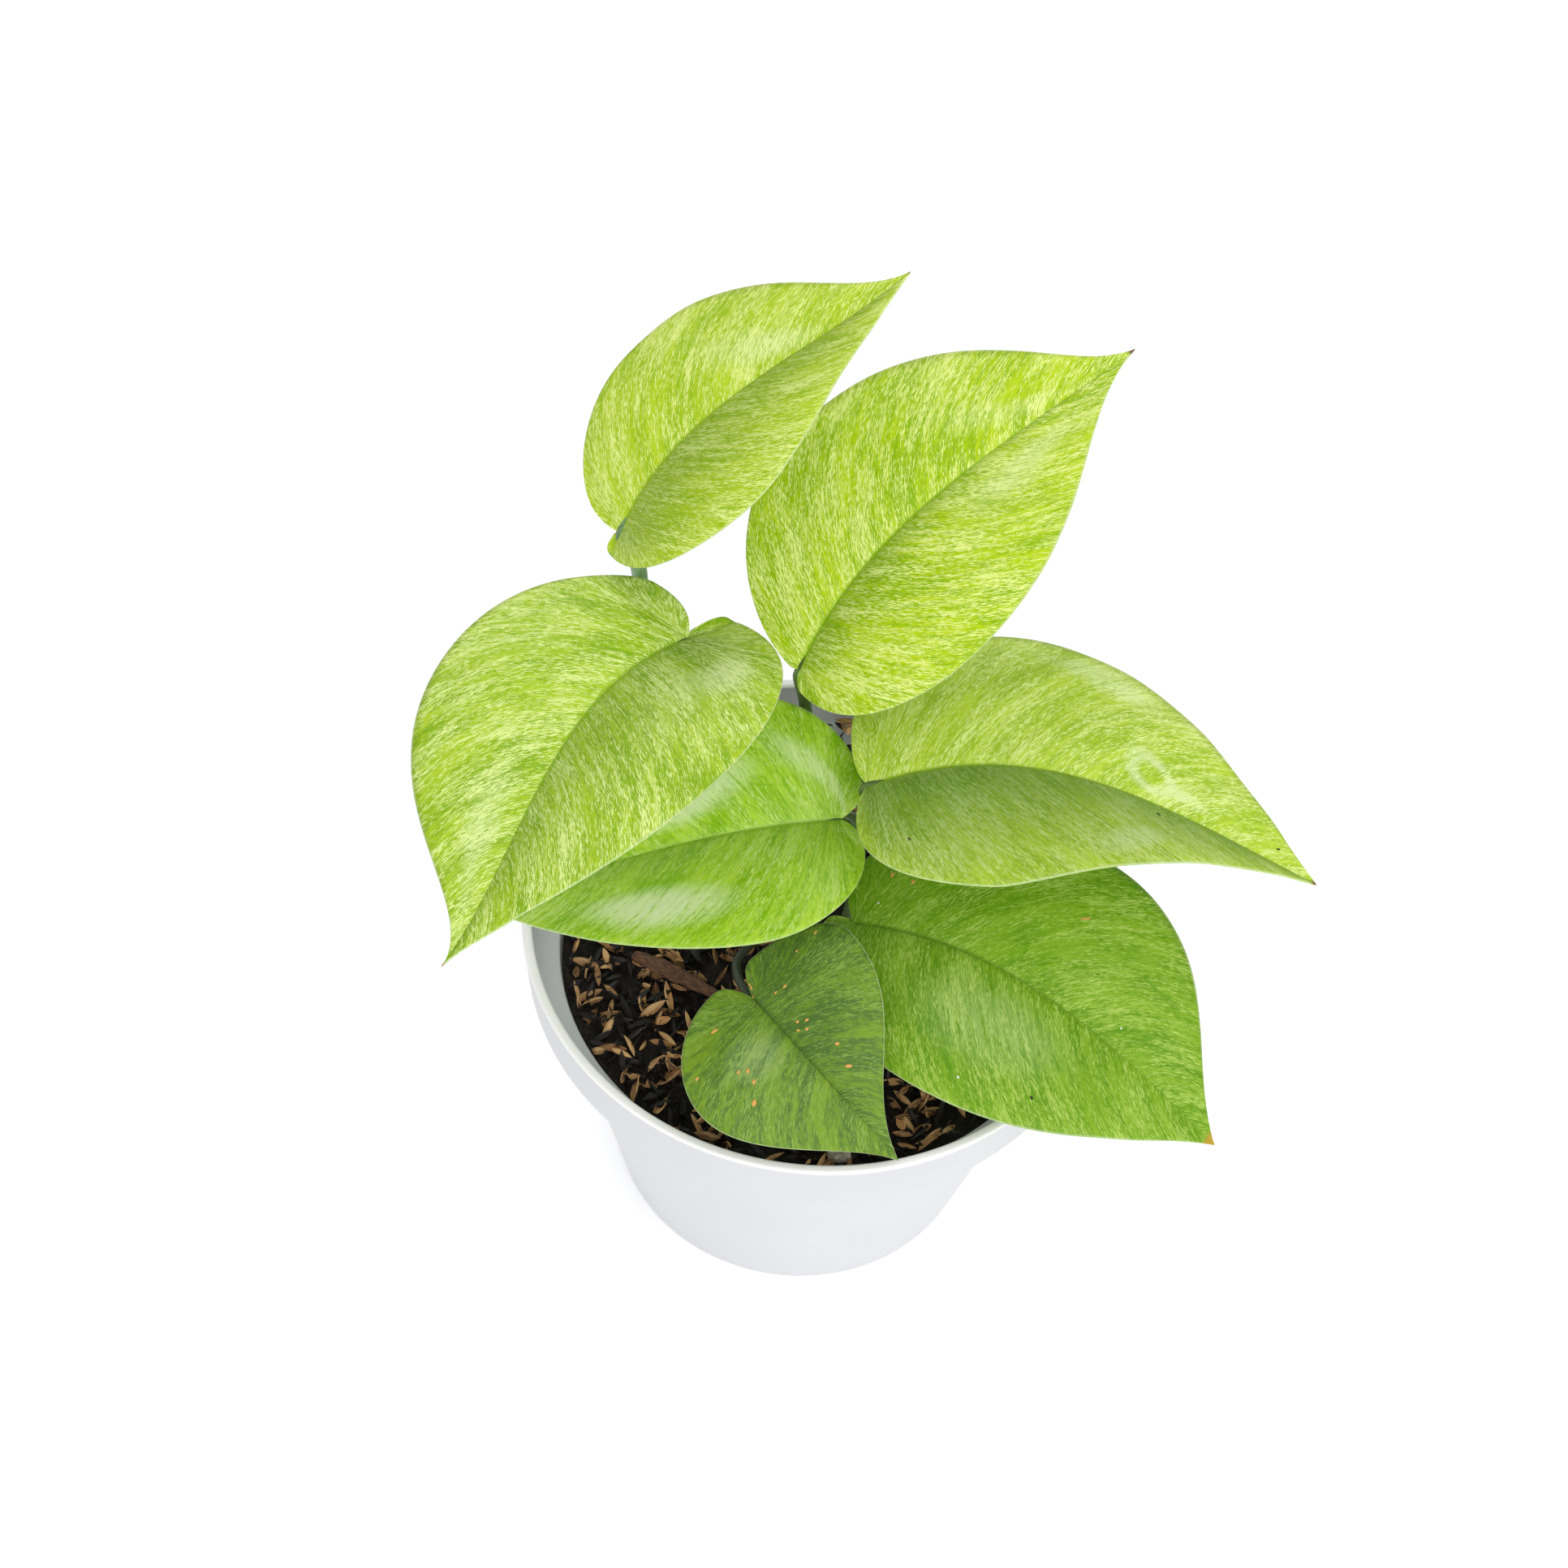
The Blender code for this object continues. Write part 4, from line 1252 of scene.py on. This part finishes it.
def pot_profile():
    """From the inside of the base, up, over the lip and down the outer side."""
    inner = COLLAR_RADIUS - WALL
    shelf = wall_radius(COLLAR_BOTTOM) - WALL
    foot = wall_radius(FLOOR) - WALL - BASE_ROUND
    shelf_top = COLLAR_BOTTOM + SHELF_THICKNESS
    lip_bottom = POT_HEIGHT - LIP_DEPTH
    crown = POT_HEIGHT - LIP_ROUND
    low_collar = COLLAR_RADIUS - COLLAR_DRAFT - COLLAR_ROUND
    wall_top = COLLAR_BOTTOM - 0.9
    return (
        [(0, FLOOR), (DRAIN_CIRCLE, FLOOR), (foot, FLOOR)]
        + arc(foot, FLOOR + INNER_FOOT_ROUND, INNER_FOOT_ROUND, -80, -10, 4)
        + [(shelf, COLLAR_BOTTOM - 1)]
        + arc(shelf + SHELF_ROUND, shelf_top - SHELF_ROUND, SHELF_ROUND, 180, 90, 4)
        + arc(inner - SHELF_ROUND, shelf_top + 0.1 + SHELF_ROUND, SHELF_ROUND, -90, 0, 4)
        + [(inner, crown - 0.3)]
        + arc(inner + LIP_ROUND, crown, LIP_ROUND, 180, 90, 5)
        + arc(LIP_RADIUS - LIP_ROUND, crown, LIP_ROUND, 90, 0, 6)
        + arc(LIP_RADIUS - LIP_UNDER_ROUND, lip_bottom + LIP_UNDER_ROUND,
              LIP_UNDER_ROUND, 0, -90, 4)
        + [(COLLAR_RADIUS + 0.15, lip_bottom - 0.1), (COLLAR_RADIUS, lip_bottom - 0.6)]
        + arc(low_collar, COLLAR_BOTTOM + COLLAR_ROUND, COLLAR_ROUND, 0, -90, 4)
        + [(WALL_TOP_RADIUS + 0.1, COLLAR_BOTTOM - 0.2), (wall_radius(wall_top), wall_top)]
        + [(wall_radius(40), 40)]
        + arc(wall_radius(BASE_ROUND) - BASE_ROUND, BASE_ROUND, BASE_ROUND, -10, -90, 5)
        + [(DRAIN_CIRCLE, 0), (0, 0)]
    )


print("profile of", len(pot_profile()), "points")

# %% [markdown]
# The turned pot and the strewn husks are both made by Geometry Nodes, so the
# pieces that such a tree always has come first: its inputs, a way to move
# points, and an end that makes instances real and sets the material.

# %% Helpers for geometry trees
def new_tree(name, inputs):
    """A geometry tree with its named inputs."""
    tree = bpy.data.node_groups.new(name, "GeometryNodeTree")
    tree.is_modifier = True
    for label, kind, value in inputs:
        socket = tree.interface.new_socket(
            label, in_out="INPUT", socket_type=f"NodeSocket{kind}"
        )
        if value is not None:
            socket.default_value = value
    tree.interface.new_socket("Geometry", in_out="OUTPUT", socket_type="NodeSocketGeometry")
    given = tree.nodes.new("NodeGroupInput")
    result = tree.nodes.new("NodeGroupOutput")
    return tree, given.outputs, result


def close_tree(tree, geometry, material, result):
    """Sets the material on the real mesh and hands it to the tree's output."""
    painted = add_node(tree, "GeometryNodeSetMaterial", {
        "Geometry": geometry, "Material": material,
    })
    tree.links.new(painted.outputs[0], result.inputs[0])
    return tree


def realized(tree, geometry):
    return add_node(tree, "GeometryNodeRealizeInstances", {"Geometry": geometry}).outputs[0]


def moved(tree, geometry, label, vector):
    """Geometry with its Position or Offset set."""
    return add_node(tree, "GeometryNodeSetPosition", {
        "Geometry": geometry, label: vector,
    }).outputs[0]


def field_vector(tree, x, y, z):
    return add_node(tree, "ShaderNodeCombineXYZ", {0: x, 1: y, 2: z}).outputs[0]


def mesh_place(tree):
    return tree.nodes.new("GeometryNodeInputPosition").outputs[0]


def run_tree(name, start, tree, values):
    """Runs a geometry tree on a mesh and keeps its result as a plain mesh."""
    obj = place_object(name, start)
    modifier = obj.modifiers.new(name, "NODES")
    modifier.node_group = tree
    for item in tree.interface.items_tree:
        if item.in_out == "INPUT" and item.name in values:
            modifier[item.identifier] = values[item.name]
    return baked(obj)


print("helpers ready")

# %% [markdown]
# A Screw modifier could turn the profile. A Geometry Nodes tree does the same
# in steps that can be read and used again: it lays a grid, gives each row the
# radius and height of one profile point, turns each column round the axis and
# merges the seam.

# %% Tree that turns a profile
POT_STEPS = 160
POT_MERGE = 0.00001


def lathe_tree():
    """Turns the profile that comes in round the Z axis."""
    tree, given, result = new_tree("lathe", [
        ("Profile", "Geometry", None), ("Profile Points", "Int", 10),
        ("Steps", "Int", 64), ("Material", "Material", None),
    ])
    points, steps = given["Profile Points"], given["Steps"]
    grid = add_node(tree, "GeometryNodeMeshGrid", {
        "Vertices X": math_node(tree, "ADD", steps, 1.0), "Vertices Y": points,
    })
    index = tree.nodes.new("GeometryNodeInputIndex").outputs[0]
    row = math_node(tree, "MODULO", index, points)
    column = math_node(tree, "FLOOR", math_node(tree, "DIVIDE", index, points))
    sample = add_node(tree, "GeometryNodeSampleIndex", {
        "Geometry": given["Profile"], "Value": mesh_place(tree), "Index": row,
    }, data_type="FLOAT_VECTOR")
    parts = split(tree, sample.outputs[0])
    turn = product(tree, math_node(tree, "DIVIDE", column, steps), math.tau)
    x = product(tree, parts[0], math_node(tree, "COSINE", turn))
    y = product(tree, parts[0], math_node(tree, "SINE", turn))
    turned = moved(tree, grid.outputs["Mesh"], "Position", field_vector(tree, x, y, parts[2]))
    closed = add_node(tree, "GeometryNodeMergeByDistance", {
        "Geometry": turned, "Distance": POT_MERGE,
    })
    return close_tree(tree, realized(tree, closed.outputs[0]), given["Material"], result)


lathe = lathe_tree()
print("lathe tree of", len(lathe.nodes), "nodes")

# %% [markdown]
# The plastic is polypropylene. It could be plain white paint, but a real pot
# lets a little light in, which softens its shading. The top of its lip carries
# painted light: it is whiter than the wall, which makes the lip its brightest
# part. Faint mottling and a few specks keep it from looking like china.

# %% White plastic
PLASTIC = ((206, 207, 212), (214, 215, 218))
# Painted light: the top of the lip is made whiter than the wall.
LIP_PAINTED_LIGHT = (254, 253, 250)
LIP_TOP = ((POT_HEIGHT - 1.0) * MM, (POT_HEIGHT - 0.5) * MM)
SPECK = (110, 104, 96)
SPECK_SCALE = 260.0
SPECK_RADIUS = 0.075
SPECK_RARITY = 0.985


def specks(tree, place):
    """1 on a few small dots, 0 elsewhere."""
    dots = add_node(tree, "ShaderNodeTexVoronoi", {"Vector": place, "Scale": SPECK_SCALE})
    small = math_node(tree, "LESS_THAN", dots.outputs["Distance"], SPECK_RADIUS)
    parts = add_node(tree, "ShaderNodeSeparateColor", {0: dots.outputs["Color"]})
    rare = math_node(tree, "GREATER_THAN", parts.outputs[0], SPECK_RARITY)
    return product(tree, small, rare)


def plastic_material():
    """White polypropylene: faint mottling, painted light on the top of the lip,
    fine bump and a few dark specks.
    """
    made, tree = new_material("white_plastic")
    place = object_place(tree)
    white = mix_colours(tree, grains(tree, place, 45.0, 3.0, 0.5), *PLASTIC)
    # Painted light on the top of the lip.
    lip_painted_light = ramp(tree, split(tree, place)[2], *LIP_TOP)
    white = mix_colours(tree, lip_painted_light, white, LIP_PAINTED_LIGHT)
    white = mix_colours(tree, product(tree, specks(tree, place), 0.6), white, SPECK)
    return finished(made, {
        "Base Color": white, "Roughness": 0.38, "Subsurface Weight": 0.25,
        "Subsurface Radius": (1.0, 1.0, 1.0), "Subsurface Scale": 2.0 * MM,
    }, bump=(grains(tree, place, 900.0, 2.0, 0.5), 0.15, 0.0001))


plastic = plastic_material()
print("plastic of", len(plastic.node_tree.nodes), "nodes")

# %% [markdown]
# The drain holes are punched through the base once the shell is turned. They
# could be left out of a pot seen from above, but the part may be turned over.

# %% Build the pot
DRAIN_HOLES = 8
DRAIN_RADIUS = 4.0
DRAIN_SIDES = 32
SHARP_ANGLE = math.radians(35)


def drain_cutters():
    """A collection with one pin for each drain hole."""
    cutters = bpy.data.collections.new("drain_cutters")
    bpy.context.scene.collection.children.link(cutters)
    for index in range(DRAIN_HOLES):
        angle = math.tau * (index + 0.5) / DRAIN_HOLES
        bm = bmesh.new()
        bmesh.ops.create_cone(
            bm, cap_ends=True, segments=DRAIN_SIDES, radius1=DRAIN_RADIUS,
            radius2=DRAIN_RADIUS, depth=4 * FLOOR,
        )
        offset = Vector((math.cos(angle), math.sin(angle), 0)) * DRAIN_CIRCLE
        bmesh.ops.translate(bm, vec=offset, verts=bm.verts)
        cutter = link_mesh("drain", bm, smooth_faces=False)
        cutters.objects.link(cutter)
        bpy.context.scene.collection.objects.unlink(cutter)
    return cutters


def face_out(mesh):
    """Turns all faces of a closed mesh outward."""
    bm = bmesh.new()
    bm.from_mesh(mesh)
    bmesh.ops.recalc_face_normals(bm, faces=bm.faces)
    bm.to_mesh(mesh)
    bm.free()


def make_pot(material):
    places = pot_profile()
    profile = bpy.data.meshes.new("profile")
    profile.from_pydata([(x * MM, 0, z * MM) for x, z in places], [], [])
    pot = run_tree("pot", profile, lathe, {
        "Profile Points": len(places), "Steps": POT_STEPS, "Material": material,
    })
    face_out(pot.data)
    cutters = drain_cutters()
    cut = pot.modifiers.new("drain", "BOOLEAN")
    cut.operation = "DIFFERENCE"
    cut.operand_type = "COLLECTION"
    cut.collection = cutters
    baked(pot)
    for cutter in list(cutters.objects):
        bpy.data.objects.remove(cutter)
    bpy.data.collections.remove(cutters)
    pot.data.shade_smooth()
    pot.data.set_sharp_from_angle(angle=SHARP_ANGLE)
    return pot


pot = make_pot(plastic)
dress(pot, "pot")
print("pot faces:", len(pot.data.polygons))

# %% [markdown]
# ## Potting mix
# The pot is filled with rice husks, more than half of them charred. Under them
# lies a bed of black crumbs, closed below down to the base. A flat disc would
# show between the husks as a plain floor, so the bed has broken noise for its
# surface.

# %% Build the bed
SOIL_DROP = 19.0
SOIL_RELIEF = 2.4
SOIL_GRAIN = 14.0
SOIL_LEVEL = POT_HEIGHT - SOIL_DROP
BED_RINGS = 56
BED_SECTORS = 150
BED_SINK = 0.8
BED_ROUND = 1.5
BED_MERGE = 0.005
# height and size of the crumbs, in millimetres
CRUMBS = ((1.1, 2.6), (0.7, 1.3))
CRUMB_SEED = 3.0


def soil_height(x, y):
    """Height of the potting mix above the pot's foot, in millimetres."""
    return SOIL_LEVEL + SOIL_RELIEF * noise.noise(Vector((x, y, 0)) / SOIL_GRAIN)


def crumbs(x, y):
    """Crumbly relief of the bed, in millimetres."""
    spot = Vector((x, y, CRUMB_SEED))
    return sum(height * noise.noise(spot / size) for height, size in CRUMBS)


def inside(height):
    """Radius of the potting mix, clear of the wall."""
    return wall_radius(height) - WALL - GAP


def make_bed():
    top = inside(SOIL_LEVEL)
    bottom = FLOOR + GAP
    levels = [(top * ring / BED_RINGS, None) for ring in range(BED_RINGS + 1)]
    levels += [(inside(60), 60.0), (inside(bottom + BED_ROUND), bottom + BED_ROUND)]
    levels += [(inside(bottom) - BED_ROUND, bottom), (0.0, bottom)]
    bm = bmesh.new()
    bmesh.ops.create_grid(bm, x_segments=len(levels) - 1, y_segments=BED_SECTORS, size=0.5)
    for vertex in bm.verts:
        radius, height = levels[round((vertex.co.x + 0.5) * (len(levels) - 1))]
        turn = math.tau * (vertex.co.y + 0.5)
        x, y = radius * math.cos(turn), radius * math.sin(turn)
        if height is None:
            height = soil_height(x, y) + crumbs(x, y) - BED_SINK
        vertex.co = (x, y, height)
    bmesh.ops.remove_doubles(bm, verts=bm.verts, dist=BED_MERGE)
    return link_mesh("potting_bed", bm)


def bed_material():
    made, tree = new_material("black_crumbs")
    grain = grains(tree, object_place(tree), 700.0, 6.0, 0.7)
    tone = ramp(tree, grain, 0.4, 0.75)
    return finished(made, {
        "Base Color": mix_colours(tree, tone, (14, 12, 10), (62, 46, 34)), "Roughness": 0.85,
    }, bump=(grain, 0.9, 0.0006))


bed = make_bed()
bed.data.materials.append(bed_material())
print("bed faces:", len(bed.data.polygons))

# %% [markdown]
# ## Rice husks
# A rice husk is a boat-shaped half shell, 8 to 9 mm long, with ribs along it.
# One shell is bent from a small grid, because thousands of copies have to stay
# light. Its fibre attribute keeps the place along and across the shell, so that
# its material can grain it lengthwise whichever way it lies.

# %% Shape a husk
HUSK_LENGTH = 8.6
HUSK_WIDTH = 2.4
HUSK_DEPTH = 1.0
HUSK_TAPER = 2.2
HUSK_WRAP = 1.75
RIB_TURNS = 9.0
RIB_HEIGHT = 0.08


def husk_shape(tree):
    """A ribbed half shell, curled to a point at both ends."""
    grid = add_node(tree, "GeometryNodeMeshGrid", {
        "Size X": 2.0, "Size Y": 2.0, "Vertices X": 8, "Vertices Y": 7,
    })
    place = mesh_place(tree)
    along, across, _ = split(tree, place)
    end = math_node(tree, "POWER", math_node(tree, "ABSOLUTE", along), HUSK_TAPER)
    taper = math_node(tree, "SUBTRACT", 1.0, end)
    ribs = math_node(tree, "COSINE", product(tree, across, RIB_TURNS))
    radius = product(tree, taper, math_node(tree, "MULTIPLY_ADD", ribs, RIB_HEIGHT, 1.0))
    turn = product(tree, across, HUSK_WRAP)
    x = product(tree, along, 0.5 * HUSK_LENGTH * MM)
    y = product(tree, math_node(tree, "SINE", turn), radius, 0.5 * HUSK_WIDTH * MM)
    z = product(tree, math_node(tree, "COSINE", turn), radius, HUSK_DEPTH * MM)
    fibred = add_node(tree, "GeometryNodeStoreNamedAttribute", {
        "Geometry": grid.outputs["Mesh"], "Name": "fibre", "Value": place,
    }, data_type="FLOAT_VECTOR", domain="POINT")
    return moved(tree, fibred.outputs[0], "Position", field_vector(tree, x, y, z))


def husk_material(name, dark, light, roughness):
    """Husk fibre: each husk has its own shade, with fine lengthwise grain."""
    made, tree = new_material(name)
    shade = add_node(tree, "ShaderNodeAttribute", attribute_name="shade").outputs["Fac"]
    along, across, _ = split(tree, attribute(tree, "fibre"))
    place = field_vector(
        tree, product(tree, along, 0.9), product(tree, across, 5.0),
        product(tree, shade, 400.0),
    )
    grain = grains(tree, place, 1.6, 3.0)
    own = math_node(tree, "MULTIPLY_ADD", shade, 0.75, -0.1)
    tone = math_node(tree, "MULTIPLY_ADD", ramp(tree, grain, 0.36, 0.62), 0.6, own)
    return finished(made, {
        "Base Color": mix_colours(tree, tone, dark, light), "Roughness": roughness,
    }, bump=(grain, 0.6, 0.0002))


print("husk of", HUSK_LENGTH, "by", HUSK_WIDTH, "mm")

# %% [markdown]
# Husks lie as they fell. A loop could place them one by one, but a Geometry
# Nodes tree does thousands in a moment. It strews husks over a surface at
# random, tilts, turns and sizes each one, heaps them in a thin layer and
# presses back what would reach through the pot's wall. It is run for each kind
# of husk.

# %% Tree that strews husks
LIFT_SEED = 7
SHADE_SEED = 5


def kept_inside(tree, geometry, limit):
    """Presses whatever reaches beyond a radius back to it."""
    x, y, z = split(tree, mesh_place(tree))
    away = length_of(tree, field_vector(tree, x, y, 0.0))
    share = math_node(tree, "DIVIDE", limit, math_node(tree, "MAXIMUM", away, MM))
    share = math_node(tree, "MINIMUM", share, 1.0)
    pressed = field_vector(tree, product(tree, x, share), product(tree, y, share), z)
    return moved(tree, geometry, "Position", pressed)


def random_value(tree, seed, data_type="FLOAT", **limits):
    """A random number or vector for each point, between Min and Max."""
    made = add_node(tree, "FunctionNodeRandomValue", {"Seed": seed}, data_type=data_type)
    for socket in made.inputs:
        if socket.enabled and socket.name in limits:
            put(tree, socket, limits[socket.name])
    return next(socket for socket in made.outputs if socket.enabled)


def husk_tree():
    tree, given, result = new_tree("strewn_husks", [
        ("Surface", "Geometry", None), ("Density", "Float", 10000.0), ("Seed", "Int", 0),
        ("Tilt", "Float", 0.5), ("Smallest", "Float", 0.7), ("Largest", "Float", 1.1),
        ("Layer", "Float", 0.001), ("Limit", "Float", 0.1), ("Material", "Material", None),
    ])
    seed, tilt = given["Seed"], given["Tilt"]
    strewn = add_node(tree, "GeometryNodeDistributePointsOnFaces", {
        "Mesh": given["Surface"], "Density": given["Density"], "Seed": seed,
    })
    turn = random_value(
        tree, seed, "FLOAT_VECTOR",
        Min=field_vector(tree, -math.pi, product(tree, tilt, -1.0), 0.0),
        Max=field_vector(tree, math.pi, tilt, math.tau),
    )
    size = random_value(tree, seed, Min=given["Smallest"], Max=given["Largest"])
    lift = product(tree, random_value(tree, LIFT_SEED), given["Layer"])
    heaped = moved(
        tree, strewn.outputs["Points"], "Offset", field_vector(tree, 0.0, 0.0, lift)
    )
    placed = add_node(tree, "GeometryNodeInstanceOnPoints", {
        "Points": heaped, "Instance": husk_shape(tree), "Rotation": turn, "Scale": size,
    })
    kept = add_node(tree, "GeometryNodeStoreNamedAttribute", {
        "Geometry": placed.outputs[0], "Name": "shade",
        "Value": random_value(tree, SHADE_SEED),
    }, data_type="FLOAT", domain="INSTANCE")
    pressed = kept_inside(tree, realized(tree, kept.outputs[0]), given["Limit"])
    return close_tree(tree, pressed, given["Material"], result)


strew = husk_tree()
print("husk tree of", len(strew.nodes), "nodes")

# %% [markdown]
# The husks lie on the bed, clear of the vine. The bed's own mesh could be the
# surface, but some husks would then stick in the vine. Behind the vine a few
# have piled up against the wall as far as the ledge, so they have a small slope
# of their own.

# %% Grounds for the husks
GROUND_LIFT = 0.2
# x, y and radius of the heap, in millimetres
LEDGE_HEAP = (2.0, 63.5, 7.0)
LEDGE_HEAP_RISE = 3.5


def disc(radius, segments):
    """A round sheet of triangles about its middle."""
    bm = bmesh.new()
    bmesh.ops.create_circle(bm, cap_ends=True, segments=segments, radius=radius)
    bmesh.ops.poke(bm, faces=bm.faces)
    return bm


def strewing_ground(reach):
    """A disc on the bed where husks may lie, clear of the vine."""
    foot, _, vine_radius = vine_at(-SOIL_DROP)
    bm = disc(reach, 64)
    bmesh.ops.subdivide_edges(bm, edges=bm.edges, cuts=12, use_grid_fill=True)
    clear = vine_radius + HUSK_LENGTH / 2
    near = [
        vertex for vertex in bm.verts
        if math.hypot(vertex.co.x - foot.x, vertex.co.y - foot.y) < clear
    ]
    bmesh.ops.delete(bm, geom=near, context="VERTS")
    for vertex in bm.verts:
        vertex.co.z = soil_height(vertex.co.x, vertex.co.y) + GROUND_LIFT
        vertex.co *= MM
    return mesh_from("strewing_ground", bm)


def heap_ground():
    """A small slope up to the ledge behind the vine, where husks have piled up."""
    x, y, radius = LEDGE_HEAP
    bm = disc(radius, 24)
    for vertex in bm.verts:
        rise = LEDGE_HEAP_RISE * (1 + vertex.co.y / radius)
        vertex.co = Vector((vertex.co.x + x, vertex.co.y + y, SOIL_LEVEL + rise)) * MM
    return mesh_from("heap_ground", bm)


print("husks keep", round(vine_at(-SOIL_DROP)[2] + HUSK_LENGTH / 2, 1), "mm off the vine")

# %% [markdown]
# Tan husks, charred ones and fine charred crumbs lie in one mixed layer. Each
# kind has its own number to the square metre, sizes, tilt and depth of layer.
# They could be dropped by a physics simulation, but strewing is quicker and
# gives the same heap on every run.

# %% Strew the husks
EDGE_GAP = 0.8
# Settings of the tree, then dark colour, light colour and roughness. A Layer
# is in metres.
HUSK_KINDS = {
    "husks_tan": (
        {"Density": 46000.0, "Seed": 3, "Tilt": 0.9, "Smallest": 0.6, "Layer": 0.0028},
        ((104, 62, 36), (255, 204, 142), 0.6),
    ),
    "husks_charred": (
        {"Density": 66000.0, "Seed": 8, "Tilt": 1.1, "Smallest": 0.4, "Layer": 0.0026},
        ((6, 6, 7), (46, 40, 38), 0.45),
    ),
    "crumbs_charred": (
        {"Density": 90000.0, "Seed": 5, "Tilt": 1.2, "Smallest": 0.15, "Largest": 0.4,
         "Layer": 0.0035},
        ((5, 5, 6), (60, 44, 34), 0.5),
    ),
}


def strew_kind(name, values, colours):
    """One kind of husk, over the bed and on the heap at the ledge."""
    edge = inside(SOIL_LEVEL - SOIL_RELIEF)
    values["Material"] = husk_material(f"{name}_fibre", *colours)
    values["Limit"] = edge * MM
    on_bed = run_tree(name, strewing_ground(edge - EDGE_GAP), strew, values)
    values["Limit"] = (COLLAR_RADIUS - WALL - GAP) * MM
    return [on_bed, run_tree(f"{name}_on_ledge", heap_ground(), strew, values)]


husks = []
for name, kind in HUSK_KINDS.items():
    husks += strew_kind(name, *kind)
print("husk faces:", [len(obj.data.polygons) for obj in husks])

# %% [markdown]
# A few larger things lie among the husks: a pale stone, a round seed husk and
# a strip of bark. Sculpting them would be slow for things this small, so stone
# and seed husk are spheres broken up by noise, and the bark is a bent lath with
# a ragged edge.

# %% Add stone, seed husk and bark
# centre, radii, dark and light colour
PEBBLES = {
    "pale_stone": ((12.0, -59.6, 86.6), (2.9, 2.0, 1.8), (150, 142, 126), (214, 208, 192)),
    "seed_husk": ((-16.3, -16.7, 87.6), (2.6, 2.2, 1.7), (104, 68, 40), (176, 128, 84)),
}
PEBBLE_ROUGHNESS = 0.22
PEBBLE_GRAIN = 1.9
BARK_LINE = [(-45.5, -9.0, 87.0), (-38, -12.6, 88.2), (-30, -15.6, 87.6), (-20.5, -20, 88.4)]
BARK_WIDTH = [1.2, 2.3, 1.9, 0.6]
BARK_THICKNESS = 0.5
BARK_STEPS = 8
BARK_ARCH = 0.6
BARK_BUMPS = 0.35
BARK_RAGGED = 0.3


def make_pebble(name, centre, radii, dark, light):
    """A lump with broken noise for its surface, half sunk among the husks."""
    bm = bmesh.new()
    bmesh.ops.create_icosphere(bm, subdivisions=4, radius=1.0)
    for vertex in bm.verts:
        lump = noise.noise(vertex.co * PEBBLE_GRAIN + Vector(centre))
        vertex.co = Vector(centre) + vertex.co * (1 + PEBBLE_ROUGHNESS * lump) * Vector(radii)
    pebble = link_mesh(name, bm)
    made, tree = new_material(f"{name}_skin")
    tone = ramp(tree, grains(tree, object_place(tree), 900, 4.0), 0.35, 0.65)
    pebble.data.materials.append(finished(made, {
        "Base Color": mix_colours(tree, tone, dark, light), "Roughness": 0.8,
    }))
    return pebble


def make_bark(material):
    """A strip of bark: a bent, split lath that lies on the husks."""
    line = smooth(BARK_LINE, BARK_STEPS)
    widths = between(BARK_WIDTH, BARK_STEPS)
    bm = bmesh.new()
    fibre = bm.verts.layers.float_vector.new("fibre")
    bmesh.ops.create_grid(bm, x_segments=len(line) - 1, y_segments=6, size=1.0)
    for vertex in bm.verts:
        step = round((vertex.co.x + 1) / 2 * (len(line) - 1))
        centre, side = line[step], vertex.co.y
        across = course_at(line, step).cross(Vector((0, 0, 1))).normalized()
        ragged = 1 + BARK_RAGGED * noise.noise(centre * 0.8 + Vector((0, 0, 3 * side)))
        bumps = BARK_BUMPS * noise.noise(centre * 0.5 + Vector((side, 0, 0)))
        rise = Vector((0, 0, BARK_ARCH * (1 - side * side) + bumps))
        vertex[fibre] = (4 * vertex.co.x, side, 0)
        vertex.co = centre + across * side * widths[step] * ragged + rise
    bark = link_mesh("bark_strip", bm)
    bark.data.materials.append(material)
    sheet = bark.modifiers.new("thickness", "SOLIDIFY")
    sheet.thickness = BARK_THICKNESS * MM
    return baked(bark)


husks += [make_pebble(name, *shape) for name, shape in PEBBLES.items()]
husks.append(make_bark(husk_material("bark_fibre", (70, 42, 28), (172, 122, 84), 0.7)))
for obj in (bed, *husks):
    dress(obj, "soil")
print("pieces of the potting mix:", 1 + len(husks))
